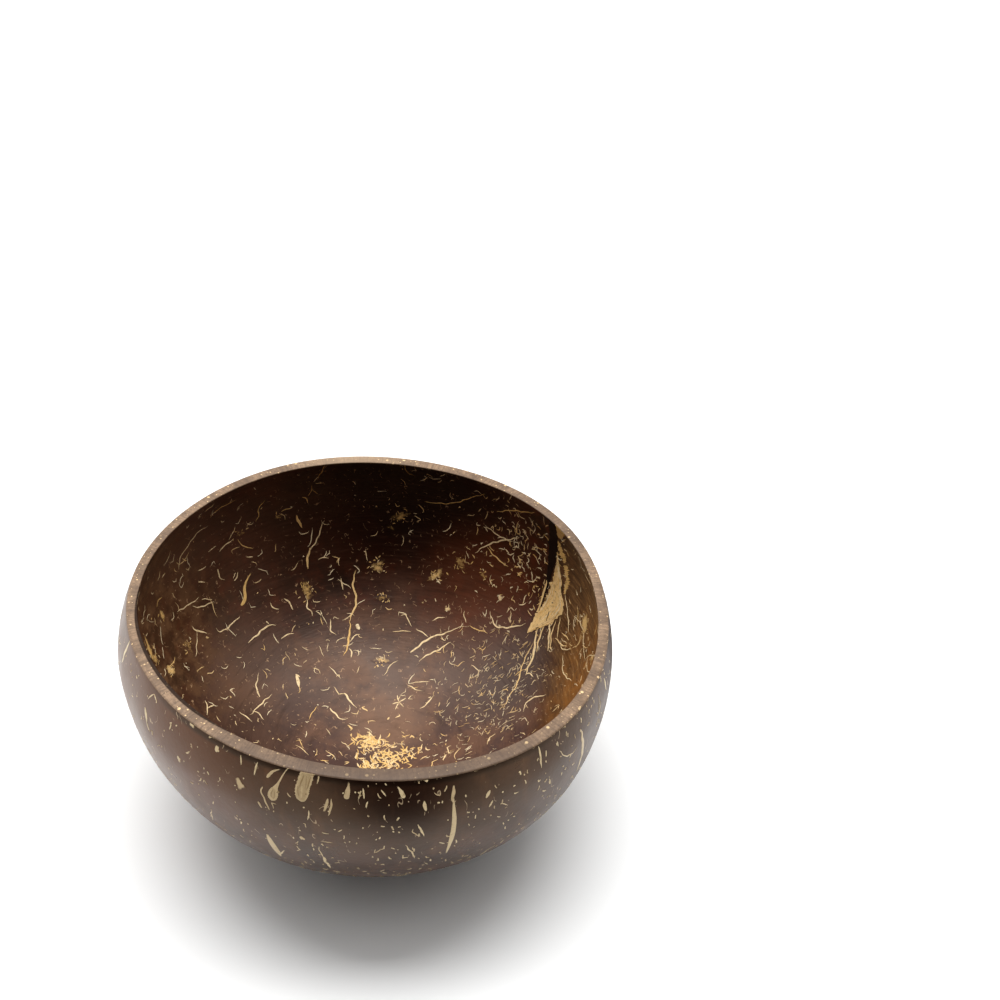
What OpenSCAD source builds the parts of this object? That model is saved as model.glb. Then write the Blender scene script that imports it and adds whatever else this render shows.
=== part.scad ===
// Bowl made from the lower half of a coconut shell.
// The nut is sawn a little above its widest part, sanded and oiled, and its pole is ground flat to stand on.
// Longitude runs round the nut from +X, and latitude runs from -90 at the lower pole to 0 at the widest part.

/* [Nut] */
// Mean width across the widest part
belly_d = 138; // [120:1:160]
// Depth of the nut from its widest part to its lower pole
pole_depth = 57; // [50:1:64]
// Height above the widest part at which the whole nut would have closed
crown_reach = 60; // [52:1:72]
// Fullness of the lower half, where 2 is an ellipse
lower_fullness = 2.1; // [1.9:0.05:2.4]
// Fullness of the band above the widest part
upper_fullness = 1.65; // [1.5:0.05:2.1]

/* [Saw and sander] */
// Depth ground off the lower pole for the flat foot
foot_grind = 2; // [1:0.25:2.5]
// Height of the sawn rim above the widest part, taken at the middle
rim_rise = 12; // [7:0.5:18]
// Angle by which the saw cut slopes down towards +X
rim_slope = 3.4; // [0:0.2:5]
// Round sanded on both edges of the rim
rim_ease = 0.35; // [0.2:0.05:0.6]

/* [Wall] */
// Thickness of the wall at the rim
rim_wall = 3.1; // [2.6:0.1:4]
// Thickness of the wall at the lower pole, before the foot is ground
pole_wall = 5; // [4.5:0.1:6.5]
// Share by which the wall is thicker at front and back, and thinner at the sides
wall_wave_share = 0.155; // [0:0.005:0.25]

/* [Fibre bundles] */
// Width of the widest strand inside the bowl
inner_strand_w = 1.6; // [1:0.1:2.4]
// Width of the widest strand outside the bowl
outer_strand_w = 2.2; // [1.4:0.1:3]
// Width of the fan-shaped bundle on the right wall
wedge_w = 11; // [7:0.5:14]
// Mean radius of the tuft at the inner pole
tuft_r = 11; // [8:0.5:14]
// Depth to which a bundle lies in the wall
bundle_depth = 0.8; // [0.5:0.05:1]
// Clearance between a bundle and its groove
bundle_gap = 0.03; // [0.02:0.01:0.06]

/* [Smoothness] */
// Columns of facets round the nut
columns = 60; // [48:4:72]
// Rings of facets on the outer wall
outer_rings = 16; // [12:1:20]
// Rings of facets on the inner wall
inner_rings = 14; // [11:1:18]

/* [Hidden] */
INSIDE = "inside";
OUTSIDE = "outside";
// Waves of the nut's outline: waves in one turn, height as a share of the radius, longitude of a crest
outline_shares = [[2, 0.034, -67], [3, 0.010, 60], [4, 0.0056, 38], [5, 0.0037, 35]];
belly_h = pole_depth - foot_grind;
belly_centre = [0, 0, belly_h];
// Passes that settle where the saw cut meets the wall
cut_passes = 10;
// Latitude nearest the pole that still has a ring of facets
pole_ring_lat = -84;
// A tool reaches this far past the surface that it cuts
overrun = bundle_depth;
// Step of latitude over which the slope of the wall is taken
slope_step = 1;
// Widest angle between two stations of a ribbon, seen from the middle of the nut
station_angle = 5;
// Share of a rounded corner's radius that lies between its middle and the sharp corner, along each side
corner_share = 1 - 1 / sqrt(2);

// Strands are rows of [longitude, latitude, share of the full width]
inner_strand_shares = [
    [[101, -24, 0.4], [102, -29, 0.7], [103, -34, 0.6], [105, -38, 0.8], [106, -42, 0.7], [110, -48, 0.4]],
    [[108, -8, 0.3], [110, -12, 0.4], [112, -16, 0.6], [115, -20, 0.9]],
    [[132.5, -15, 0.5], [135, -19, 1], [138, -23, 0.5]],
    [[141, 3, 0.3], [147, -0.5, 0.5], [153, -3, 0.4]],
    [[177, -7, 0.5], [176.5, -11, 0.9], [176.5, -15, 0.5]],
    [[53, -8, 0.3], [58, -11, 0.6], [64, -15, 0.4]],
    [[53, -29, 0.7], [49, -33, 0.7], [38, -27, 0.3]],
    [[61, -36, 0.3], [70, -43, 0.5], [79, -48.5, 0.7]],
    [[133, -30.5, 0.3], [138, -32, 0.5], [143, -32, 0.4]],
    [[122, -43, 0.4], [125, -47, 1], [130, -50, 0.4]],
];
outer_strand_shares = [
    [[-69, 6.5, 0.3], [-70, 2, 0.6], [-70.5, -4, 0.7], [-71, -12, 0.3]],
    [[-98.5, 11, 0.9], [-98, 8, 1.6], [-97.5, 5, 1.7], [-97.3, 2.5, 0.7]],
    [[-102.5, 8, 0.2], [-103.5, 6, 0.4], [-104.3, 4, 1.2], [-104.3, 2.5, 0.6]],
    [[-88.5, 9.3, 0.9], [-89.8, 5.5, 0.3]],
    [[-92.8, 8, 0.4], [-93.1, 4, 0.9]],
    [[-79.8, 8.3, 0.9], [-78.7, 5.8, 0.4]],
    [[-106.8, -8.5, 0.9], [-106.2, -12, 1], [-105.9, -16.3, 0.4]],
    [[-158, 13, 0.3], [-160, 5.3, 0.7]],
    [[-142.2, 6, 0.9], [-139.9, 2, 0.4]],
    [[-38, 3, 0.4], [-37, -4, 0.8], [-37.5, -10, 0.3]],
    [[4, 5, 0.3], [5, -3, 0.7], [4.5, -14, 0.3]],
    [[47, -9, 0.9], [48.5, -14, 0.4]],
    [[88, 6, 0.5], [87, 0, 1], [87.5, -7, 0.4]],
    [[131, 1, 0.3], [132, -8, 0.6], [131, -18, 0.3]],
    [[168, -12, 0.8], [169, -17, 0.3]],
];
// The bundle on the right wall starts at the rim and fans out downwards
wedge_shares = [
    [33, 7, 0.1], [31, -4, 0.2], [30.5, -12, 0.7], [31, -17.5, 1], [33, -23, 0.55], [35.5, -28.5, 0.12],
];
wedge_root_shares = [[31, -20, 0.12], [29, -26, 0.12], [27, -31, 0.09], [24, -37, 0.09], [17, -47, 0.04]];
// Waves of the tuft's outline: waves in one turn, height as a share of its radius, azimuth of a crest
tuft_wave_shares = [[2, 0.16, 130], [3, 0.14, 5], [7, 0.10, 20], [11, 0.07, 3]];
tuft_points = 44;

function total(list, i = 0) = i >= len(list) ? 0 : list[i] + total(list, i + 1);
function unit(v) = v / norm(v);

// Radius of a wavy outline as a share of its mean radius
function waves(table, angle) = 1 + total([for (row = table) row[1] * cos(row[0] * (angle - row[2]))]);

function wall(lon) = rim_wall * (1 - wall_wave_share * cos(2 * lon));

// Half width, lower depth and upper reach of the nut's skin on either side of the wall
function half_width(side, lon) = belly_d / 2 * waves(outline_shares, lon) - (side == INSIDE ? wall(lon) : 0);
function lower_depth(side) = pole_depth - (side == INSIDE ? pole_wall : 0);
function upper_reach(side) = crown_reach - (side == INSIDE ? rim_wall : 0);

// Distance from the centre to a superellipse with half axes r and c, seen at latitude lat
function superellipse(r, c, fullness, lat) =
    pow(pow(abs(cos(lat)) / r, fullness) + pow(abs(sin(lat)) / c, fullness), -1 / fullness);

function reach(side, lon, lat) =
    lat < 0 ? superellipse(half_width(side, lon), lower_depth(side), lower_fullness, lat)
            : superellipse(half_width(side, lon), upper_reach(side), upper_fullness, lat);

function direction(lon, lat) = [cos(lat) * cos(lon), cos(lat) * sin(lon), sin(lat)];
function on_nut(side, lon, lat) = belly_centre + reach(side, lon, lat) * direction(lon, lat);

// Latitude at which the sloping saw cut meets the wall, by repeated correction
function rim_lat(side, lon, lat = 0, pass = 0) =
    pass == cut_passes ? lat
    : let (r = reach(side, lon, lat) * cos(lat))
      rim_lat(side, lon, atan2(rim_rise - tan(rim_slope) * r * cos(lon), r), pass + 1);

// Three points that round a corner between the directions along and across
function eased(corner, along, across) = [
    corner + rim_ease * along,
    corner + rim_ease * corner_share * (along + across),
    corner + rim_ease * across,
];

function rim_corner(side, lon) = on_nut(side, lon, rim_lat(side, lon));
function down_wall(side, lon) =
    let (lat = rim_lat(side, lon))
    unit(on_nut(side, lon, lat - slope_step) - on_nut(side, lon, lat));

// One side of the wall at one longitude, from beside its pole up to and round the eased edge of the rim
function wall_side(side, lon) =
    let (
        rings = side == INSIDE ? inner_rings : outer_rings,
        corner = rim_corner(side, lon),
        other = rim_corner(side == INSIDE ? OUTSIDE : INSIDE, lon),
        top = rim_lat(side, lon) - atan(rim_ease / norm(corner - belly_centre))
    )
    concat(
        [for (i = [0:rings - 1]) on_nut(side, lon, pole_ring_lat + (top - pole_ring_lat) * i / rings)],
        eased(corner, down_wall(side, lon), unit(other - corner))
    );

function reversed(list) = [for (i = [len(list) - 1:-1:0]) list[i]];

// A skin through sections spread round the Z axis, closed by a fan of facets at each pole
module lofted(sections, first_pole, last_pole) {
    rows = len(sections[0]);
    first = columns * rows;
    strips = [
        for (c = [0:columns - 1], i = [0:rows - 2])
        let (here = c * rows + i, next = (c + 1) % columns * rows + i)
        each [[here, here + 1, next], [next, here + 1, next + 1]]
    ];
    fans = [
        for (c = [0:columns - 1])
        let (here = c * rows, next = (c + 1) % columns * rows)
        each [[first, here, next], [first + 1, next + rows - 1, here + rows - 1]]
    ];
    points = concat([for (s = sections) each s], [first_pole, last_pole]);
    polyhedron(points = points, faces = concat(strips, fans));
}

LONGITUDES = [for (c = [0:columns - 1]) 360 * c / columns];

// The sawn half nut: up the outside, over the rim and down the inside
module half_nut() {
    sections = [for (lon = LONGITUDES) concat(wall_side(OUTSIDE, lon), reversed(wall_side(INSIDE, lon)))];
    lofted(sections, on_nut(OUTSIDE, 0, -90), on_nut(INSIDE, 0, -90));
}

// All that lies within one side of the wall, up to the saw cut
module space_within(side) {
    lofted([for (lon = LONGITUDES) wall_side(side, lon)], on_nut(side, 0, -90), [0, 0, belly_h + rim_rise]);
}

// Everything below the ground that the bowl stands on, which the sander takes off
module ground_off() {
    translate([-belly_d, -belly_d, -pole_depth]) cube([2 * belly_d, 2 * belly_d, pole_depth]);
}

// Rows of longitude, latitude and share, with more put in between so that a ribbon follows the round wall
function stations(rows) = concat(
    [
        for (i = [0:len(rows) - 2])
        let (
            row = rows[i],
            change = rows[i + 1] - row,
            steps = ceil(norm([change[0] * cos(row[1]), change[1]]) / station_angle)
        )
        for (k = [0:steps - 1]) row + change * k / steps
    ],
    [rows[len(rows) - 1]]
);

// One bundle as a flat ribbon that follows the wall, from above its surface down into it.
// Rows hold longitude, latitude and share of the full width, and extra is added all round for a groove.
module ribbon(side, coarse_rows, width, extra) {
    rows = stations(coarse_rows);
    last = len(rows) - 1;
    into_wall = side == INSIDE ? 1 : -1;
    middles = [for (row = rows) on_nut(side, row[0], row[1])];
    corners = [
        for (i = [0:last])
        let (
            ahead = unit(middles[min(i + 1, last)] - middles[max(i - 1, 0)]),
            down = into_wall * unit(middles[i] - belly_centre),
            end_shift = (i == last ? extra : i == 0 ? -extra : 0) * ahead,
            across = unit(cross(down, ahead)) * (width * rows[i][2] / 2 + extra),
            top = middles[i] + end_shift - overrun * down,
            floor_point = middles[i] + end_shift + (bundle_depth + extra) * down
        )
        each [top + across, top - across, floor_point - across, floor_point + across]
    ];
    n = len(corners) / len(rows);
    walls = [
        for (i = [0:last - 1], k = [0:n - 1])
        let (here = n * i + k, beside = n * i + (k + 1) % n)
        each [[here, beside, beside + n], [here, beside + n, here + n]]
    ];
    ends = [[for (k = [n - 1:-1:0]) k], [for (k = [0:n - 1]) n * last + k]];
    polyhedron(points = corners, faces = concat(walls, ends));
}

module strand_ribbons(side, strands, width, extra = 0) {
    for (rows = strands) ribbon(side, rows, width, extra);
}

module wedge_ribbons(extra = 0) {
    strand_ribbons(INSIDE, [wedge_shares, wedge_root_shares], wedge_w, extra);
}

// The tuft's outline, cut upright into the floor at the inner pole
module tuft_column(extra = 0) {
    outline = [
        for (i = [0:tuft_points - 1])
        let (angle = 360 * i / tuft_points)
        (tuft_r * waves(tuft_wave_shares, angle) + extra) * [cos(angle), sin(angle)]
    ];
    bottom = pole_wall - foot_grind - bundle_depth - extra;
    translate([0, 0, bottom]) linear_extrude(pole_wall) polygon(outline);
}

module shell() {
    color("#4a3026")
    difference() {
        half_nut();
        ground_off();
        strand_ribbons(INSIDE, inner_strand_shares, inner_strand_w, bundle_gap);
        strand_ribbons(OUTSIDE, outer_strand_shares, outer_strand_w, bundle_gap);
        wedge_ribbons(bundle_gap);
        tuft_column(bundle_gap);
    }
}

module inner_strands() {
    color("#d8b070")
    difference() {
        strand_ribbons(INSIDE, inner_strand_shares, inner_strand_w);
        space_within(INSIDE);
    }
}

module outer_strands() {
    color("#c9a878")
    intersection() {
        strand_ribbons(OUTSIDE, outer_strand_shares, outer_strand_w);
        space_within(OUTSIDE);
    }
}

module wedge_bundle() {
    color("#dcb678")
    difference() {
        wedge_ribbons();
        space_within(INSIDE);
    }
}

module pole_tuft() {
    color("#e2c084")
    difference() {
        tuft_column();
        space_within(INSIDE);
    }
}

shell();
inner_strands();
outer_strands();
wedge_bundle();
pole_tuft();
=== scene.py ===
"""A bowl made from half a coconut shell, dressed for rendering round its packed construction.

The wall of the nut is one surface that is described from the middle of its widest part. The shell is modelled
from two spheres that are drawn onto that surface. Every fibre bundle is a small plank, modelled once, that is
bent onto the same surface, so that the fibres lie in the wall as the real ones do.
"""

import logging
import math
from collections.abc import Sequence
from dataclasses import dataclass, field
from enum import Enum

import bpy
import numpy as np
from mathutils.bvhtree import BVHTree
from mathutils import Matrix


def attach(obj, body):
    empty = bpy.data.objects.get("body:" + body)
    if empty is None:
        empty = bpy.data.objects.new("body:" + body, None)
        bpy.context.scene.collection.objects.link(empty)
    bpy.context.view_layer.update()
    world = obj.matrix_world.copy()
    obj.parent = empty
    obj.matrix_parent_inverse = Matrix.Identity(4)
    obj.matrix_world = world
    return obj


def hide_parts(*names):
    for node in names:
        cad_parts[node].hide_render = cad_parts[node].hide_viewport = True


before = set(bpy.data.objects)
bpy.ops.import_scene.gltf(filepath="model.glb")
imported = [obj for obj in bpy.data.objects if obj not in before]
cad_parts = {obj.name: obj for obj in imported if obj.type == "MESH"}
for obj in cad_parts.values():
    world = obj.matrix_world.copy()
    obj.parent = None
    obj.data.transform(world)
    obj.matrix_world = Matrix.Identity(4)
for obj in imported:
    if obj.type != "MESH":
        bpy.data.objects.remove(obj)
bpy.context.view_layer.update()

MM = 0.001
TURN = 2 * math.pi
TINY = 1e-9
UP = np.array([0.0, 0.0, 1.0])
BODY = "root"
FIBRE_CREASE_DEG = 50
Point = tuple[float, float, float]
Stock = tuple[np.ndarray, list[list[int]]]
Tree = bpy.types.NodeTree
Socket = bpy.types.NodeSocket
Settings = dict[str | int, object]
Spread = tuple[float, ...]
log = logging.getLogger("coconut_bowl")


def unit(vectors: np.ndarray) -> np.ndarray:
    """Scales vectors to a length of one.

    Args:
        vectors: Vectors along the last axis.

    Returns:
        The same directions, one unit long.
    """
    return vectors / np.linalg.norm(vectors, axis=-1, keepdims=True)


def lengths_along(points: np.ndarray) -> np.ndarray:
    """Measures how far along a path each of its points lies.

    Args:
        points: The path's points, one in each row.

    Returns:
        A length for each point, nothing for the first.
    """
    steps = np.linalg.norm(np.diff(points, axis=0), axis=1)
    return np.concatenate([[0], np.cumsum(steps)])


def deselect() -> None:
    """Deselects every object, so that an operator acts only on what is picked after this."""
    for obj in bpy.context.selected_objects:
        obj.select_set(False)


def pick(*objects: bpy.types.Object) -> None:
    """Selects some objects and makes the first one active.

    Args:
        objects: The objects to select.
    """
    deselect()
    for obj in objects:
        obj.select_set(True)
    bpy.context.view_layer.objects.active = objects[0]


def coordinates(mesh: bpy.types.Mesh) -> np.ndarray:
    """Reads the vertices of a mesh.

    Args:
        mesh: The mesh to read.

    Returns:
        One row of x, y, z for each vertex.
    """
    flat = np.zeros(len(mesh.vertices) * 3)
    mesh.vertices.foreach_get("co", flat)
    return flat.reshape(-1, 3)


def start_selection(kind: str) -> None:
    """Deselects all of the active mesh, and leaves it ready for parts of it to be marked as selected.

    Args:
        kind: VERT, EDGE or FACE, the kind of part that is marked.
    """
    bpy.ops.object.mode_set(mode="EDIT")
    bpy.ops.mesh.select_mode(type=kind)
    bpy.ops.mesh.select_all(action="DESELECT")
    bpy.ops.object.mode_set(mode="OBJECT")


def take_apart(stock: bpy.types.Object) -> Stock:
    """Reads the mesh of an object and removes the object.

    Args:
        stock: The object.

    Returns:
        Its vertices and its faces.
    """
    mesh = stock.data
    points, faces = coordinates(mesh), [list(p.vertices) for p in mesh.polygons]
    bpy.data.objects.remove(stock)
    bpy.data.meshes.remove(mesh)
    return points, faces


def store(mesh: bpy.types.Mesh, name: str, values: np.ndarray) -> None:
    """Stores a number at each vertex, for a shader to read.

    Args:
        mesh: The mesh.
        name: Name of the attribute.
        values: The numbers.
    """
    mesh.attributes.new(name, "FLOAT", "POINT").data.foreach_set("value", values.astype(np.float32))


def new_piece(
    name: str, points: np.ndarray, faces: list[list[int]], shading: dict[str, np.ndarray]
) -> bpy.types.Object:
    """Makes a piece from vertices and faces.

    Args:
        name: Name of the piece.
        points: Its vertices.
        faces: Its faces.
        shading: Numbers at each vertex that its finish reads, by the attribute's name.

    Returns:
        The piece.
    """
    mesh = bpy.data.meshes.new(name)
    mesh.from_pydata(points, [], faces)
    for attribute, values in shading.items():
        store(mesh, attribute, values)
    piece = bpy.data.objects.new(name, mesh)
    bpy.context.scene.collection.objects.link(piece)
    return piece


def smooth(obj: bpy.types.Object, angle_deg: float) -> None:
    """Shades a piece smooth, apart from edges that turn by more than an angle.

    Args:
        obj: The piece.
        angle_deg: The sharpest turn that is still shaded smooth.
    """
    pick(obj)
    bpy.ops.object.shade_smooth_by_angle(angle=math.radians(angle_deg))


class Side(Enum):
    """The two skins of the wall."""

    INSIDE = "inside"
    OUTSIDE = "outside"


@dataclass(frozen=True)
class Wave:
    """One wave of an outline: waves in a turn, height as a share of the radius, and azimuth of a crest."""

    count: int
    share: float
    crest_deg: float


@dataclass(frozen=True)
class Nut:
    """The sawn half nut as a surface. A ray is a unit vector from the middle of the nut's widest part."""

    belly_d: float = 138 * MM
    pole_depth: float = 57 * MM
    crown_reach: float = 60 * MM
    lower_fullness: float = 2.1
    upper_fullness: float = 1.65
    foot_grind: float = 2 * MM
    rim_rise: float = 12 * MM
    rim_slope_deg: float = 3.4
    rim_ease: float = 0.35 * MM
    rim_wall: float = 3.1 * MM
    pole_wall: float = 5 * MM
    wall_wave_share: float = 0.155
    outline: tuple[Wave, ...] = (
        Wave(2, 0.034, -67), Wave(3, 0.010, 60), Wave(4, 0.0056, 38), Wave(5, 0.0037, 35),
    )
    sanding_depth: float = 0.22 * MM
    sanding_span: float = 26 * MM
    sanding_seed: int = 5
    sanding_waves: int = 6
    unsanded_above: float = 0.15
    unsanded_below: float = -0.97
    rim_fade: float = 0.3
    foot_fade: float = 0.1
    cut_passes: int = 12
    foot_passes: int = 40

    @property
    def belly_h(self) -> float:
        """Height of the nut's widest part above the ground."""
        return self.pole_depth - self.foot_grind

    @property
    def middle(self) -> np.ndarray:
        """The point that all rays start from."""
        return np.array([0.0, 0.0, self.belly_h])

    @property
    def saw_fall(self) -> float:
        """How far the saw cut falls for each unit along X."""
        return math.tan(math.radians(self.rim_slope_deg))

    def wall(self, lon: np.ndarray) -> np.ndarray:
        """Thickness of the wall at the rim, for longitudes in radians."""
        return self.rim_wall * (1 - self.wall_wave_share * np.cos(2 * lon))

    def half_width(self, side: Side, lon: np.ndarray) -> np.ndarray:
        """Half of the nut's width on one side of the wall.

        Args:
            side: The skin of the wall.
            lon: Longitudes in radians.

        Returns:
            A distance from the axis for each longitude.
        """
        wavy = 1 + sum(w.share * np.cos(w.count * (lon - math.radians(w.crest_deg))) for w in self.outline)
        return self.belly_d / 2 * wavy - (self.wall(lon) if side is Side.INSIDE else 0)

    def reach(self, side: Side, rays: np.ndarray) -> np.ndarray:
        """Distance from the middle to a skin of the wall, before the sander's unevenness.

        Args:
            side: The skin of the wall.
            rays: Unit vectors along the last axis.

        Returns:
            One distance for each ray.
        """
        inside = side is Side.INSIDE
        lon = np.arctan2(rays[..., 1], rays[..., 0])
        flat, rise = np.hypot(rays[..., 0], rays[..., 1]), np.abs(rays[..., 2])
        below = rays[..., 2] < 0
        depth = self.pole_depth - (self.pole_wall if inside else 0)
        crown = self.crown_reach - (self.rim_wall if inside else 0)
        height = np.where(below, depth, crown)
        fullness = np.where(below, self.lower_fullness, self.upper_fullness)
        width = self.half_width(side, lon)
        return ((flat / width) ** fullness + (rise / height) ** fullness) ** (-1 / fullness)

    def sanding(self, side: Side, rays: np.ndarray) -> np.ndarray:
        """Depth of the low, wide hollows that sanding by hand leaves.

        Args:
            side: The skin of the wall, because each has hollows of its own.
            rays: Unit vectors along the last axis.

        Returns:
            A depth into the wall for each ray, nothing at the rim and at the foot.
        """
        chance = np.random.default_rng(self.sanding_seed + (side is Side.INSIDE))
        total = np.zeros(rays.shape[:-1])
        for _ in range(self.sanding_waves):
            pull = unit(chance.normal(size=3)) * self.belly_d * math.pi / self.sanding_span
            total = total + np.sin(rays @ pull + chance.uniform(0, TURN))
        share = 0.5 + 0.5 * total / self.sanding_waves
        rise = rays[..., 2]
        near_rim = np.clip((self.unsanded_above - rise) / self.rim_fade, 0, 1)
        near_foot = 1
        if side is Side.OUTSIDE:
            near_foot = np.clip((rise - self.unsanded_below) / self.foot_fade, 0, 1)
        return self.sanding_depth * share * near_rim * near_foot

    def place(self, side: Side, rays: np.ndarray, lift: np.ndarray | float = 0.0) -> np.ndarray:
        """Points on a skin of the wall.

        Args:
            side: The skin of the wall.
            rays: Unit vectors along the last axis.
            lift: Height above the skin, out of the wall.

        Returns:
            One point for each ray.
        """
        out_of_wall = -1 if side is Side.INSIDE else 1
        distance = self.reach(side, rays) + out_of_wall * (lift - self.sanding(side, rays))
        return self.middle + distance[..., None] * rays

    def rim_lat(self, side: Side, lon: np.ndarray) -> np.ndarray:
        """Latitude at which the sloping saw cut meets a skin, by repeated correction.

        Args:
            side: The skin of the wall.
            lon: Longitudes in radians.

        Returns:
            One latitude in radians for each longitude.
        """
        lat = np.zeros_like(lon)
        for _ in range(self.cut_passes):
            radius = self.reach(side, self.rays(lon, lat)) * np.cos(lat)
            lat = np.arctan2(self.rim_rise - self.saw_fall * radius * np.cos(lon), radius)
        return lat

    def foot_lat(self, lon: np.ndarray) -> np.ndarray:
        """Latitude at which the outer skin meets the ground, by halving.

        Args:
            lon: Longitudes in radians.

        Returns:
            One latitude in radians for each longitude.
        """
        low, high = np.full_like(lon, -TURN / 4), np.full_like(lon, -TURN / 8)
        for _ in range(self.foot_passes):
            lat = (low + high) / 2
            under = -self.reach(Side.OUTSIDE, self.rays(lon, lat)) * np.sin(lat) > self.belly_h
            low, high = np.where(under, lat, low), np.where(under, high, lat)
        return high

    @staticmethod
    def rays(lon: np.ndarray, lat: np.ndarray) -> np.ndarray:
        """Unit vectors at longitudes and latitudes, both in radians."""
        return np.stack([np.cos(lat) * np.cos(lon), np.cos(lat) * np.sin(lon), np.sin(lat)], -1)

    def ray_at(self, lon_deg: float, lat_deg: float) -> np.ndarray:
        """The unit vector at one longitude and latitude, both in degrees."""
        return self.rays(np.radians(lon_deg), np.radians(lat_deg))

    def below_rim(self, side: Side, rays: np.ndarray, margin: float) -> np.ndarray:
        """Draws rays down to a margin below the rim where they pass above it.

        Args:
            side: The skin of the wall.
            rays: Unit vectors along the last axis.
            margin: The distance that is kept from the rim.

        Returns:
            The rays, none of them above the margin.
        """
        if rays[..., 2].max() < 0:
            return rays
        lon = np.arctan2(rays[..., 1], rays[..., 0])
        top = self.rim_lat(side, lon) - 2 * margin / self.belly_d
        return self.rays(lon, np.minimum(np.arcsin(np.clip(rays[..., 2], -1, 1)), top))


@dataclass(frozen=True)
class PhotoView:
    """The photograph's point of view. Its focal length is in pixels of the 1000 x 1000 frame."""

    frame_px: float = 1000
    focal_px: float = 1300
    x: float = 35.7 * MM
    y: float = -274.1 * MM
    z: float = 287.5 * MM
    pitch_down_deg: float = 34.77
    sensor: float = 36
    near: float = 10 * MM

    def ray(self, u: float, v: float) -> np.ndarray:
        """Direction of the line of sight through a pixel.

        Args:
            u: Pixels from the left edge of the frame.
            v: Pixels from its upper edge.

        Returns:
            A unit vector.
        """
        a, b = (u - self.frame_px / 2) / self.focal_px, (v - self.frame_px / 2) / self.focal_px
        c, s = math.cos(math.radians(self.pitch_down_deg)), math.sin(math.radians(self.pitch_down_deg))
        return unit(np.array([a, c - b * s, -s - b * c]))

    def make(self) -> bpy.types.Object:
        """Adds the camera and makes it the scene's camera.

        Returns:
            The camera.
        """
        tilt = math.radians(90 - self.pitch_down_deg)
        deselect()
        bpy.ops.object.camera_add(location=(self.x, self.y, self.z), rotation=(tilt, 0, 0))
        camera = bpy.context.object
        camera.name = "photo_view"
        camera.data.sensor_width = self.sensor
        camera.data.lens = self.sensor * self.focal_px / self.frame_px
        camera.data.clip_start = self.near
        bpy.context.scene.camera = camera
        return camera


def linear(hex_code: str) -> tuple[float, float, float, float]:
    """Turns an sRGB colour to the linear one that shaders use.

    Args:
        hex_code: Six hexadecimal digits after a number sign.

    Returns:
        Red, green, blue and alpha.
    """
    values = [int(hex_code[i:i + 2], 16) / 255 for i in (1, 3, 5)]
    r, g, b = (v / 12.92 if v <= 0.04045 else ((v + 0.055) / 1.055) ** 2.4 for v in values)
    return r, g, b, 1.0


def per(size: float) -> float:
    """The scale of a pattern on Object coordinates whose features have a real size in metres."""
    return 1 / size


def feed(tree: Tree, node: bpy.types.Node, settings: Settings) -> None:
    """Sets the properties and inputs of a node.

    Args:
        tree: The node tree.
        node: The node.
        settings: Properties by name, and inputs by name or number. An input that is given a socket is linked
            to it, and a hex colour is turned to a linear one.
    """
    for name, value in settings.items():
        if isinstance(name, str) and name not in node.inputs:
            setattr(node, name, value)
        elif isinstance(value, Socket):
            tree.links.new(value, node.inputs[name])
        else:
            node.inputs[name].default_value = linear(value) if isinstance(value, str) else value


def add_node(tree: Tree, kind: str, settings: Settings | None = None) -> bpy.types.Node:
    """Adds a node to a tree, with its settings and links.

    Args:
        tree: The node tree.
        kind: The node's type, without the words that all shader nodes share.
        settings: What it is fed with.

    Returns:
        The node.
    """
    node = tree.nodes.new("ShaderNode" + kind)
    feed(tree, node, settings or {})
    return node


@dataclass(frozen=True)
class Band:
    """Part of a pattern's range, from low to high, spread with soft ends over shares from start to end."""

    pattern: Socket
    low: float
    high: float
    start: float = 0.0
    end: float = 1.0

    def wire(self, tree: Tree) -> Socket:
        """Adds what turns the pattern to shares.

        Args:
            tree: The node tree.

        Returns:
            The shares.
        """
        return add_node(tree, "MapRange", {
            "interpolation_type": "SMOOTHSTEP", "Value": self.pattern,
            "From Min": self.low, "From Max": self.high, "To Min": self.start, "To Max": self.end,
        }).outputs[0]


Share = Band | Socket | float


def overlap(tree: Tree, *shares: Share) -> Socket | float:
    """Finds the share that several shares leave together, which is their product.

    Args:
        tree: The node tree.
        shares: The shares.

    Returns:
        The product.
    """
    wired = [share.wire(tree) if isinstance(share, Band) else share for share in shares]
    total = wired[0]
    for factor in wired[1:]:
        total = add_node(tree, "Math", {"operation": "MULTIPLY", 0: total, 1: factor}).outputs[0]
    return total


def lay(tree: Tree, base: Socket | str, colour: Socket | str, *shares: Share) -> Socket:
    """Lays a colour over another.

    Args:
        tree: The node tree.
        base: The colour below.
        colour: The colour that is laid over it.
        shares: How much of it shows, as shares that are multiplied.

    Returns:
        The mixed colour.
    """
    return add_node(tree, "MixRGB", {0: overlap(tree, *shares), 1: base, 2: colour}).outputs[0]


@dataclass(frozen=True)
class Clouds:
    """A cloudy pattern round one half.

    It holds the real size of its features, the number of finer layers, the strength of each as a share of the
    one before, and how much finer the pattern is along each axis.
    """

    size_mm: float
    layers: float = 3.0
    strength: float = 0.55
    finer: Point = (1, 1, 1)

    def wire(self, tree: Tree, place: Socket) -> Socket:
        """Adds the pattern.

        Args:
            tree: The node tree.
            place: Where on the piece the shader is.

        Returns:
            The pattern.
        """
        if self.finer != (1, 1, 1):
            place = add_node(tree, "Mapping", {"Vector": place, "Scale": self.finer}).outputs[0]
        return add_node(tree, "TexNoise", {
            "Vector": place, "Scale": per(self.size_mm * MM),
            "Detail": self.layers, "Roughness": self.strength,
        }).outputs[0]


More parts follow.
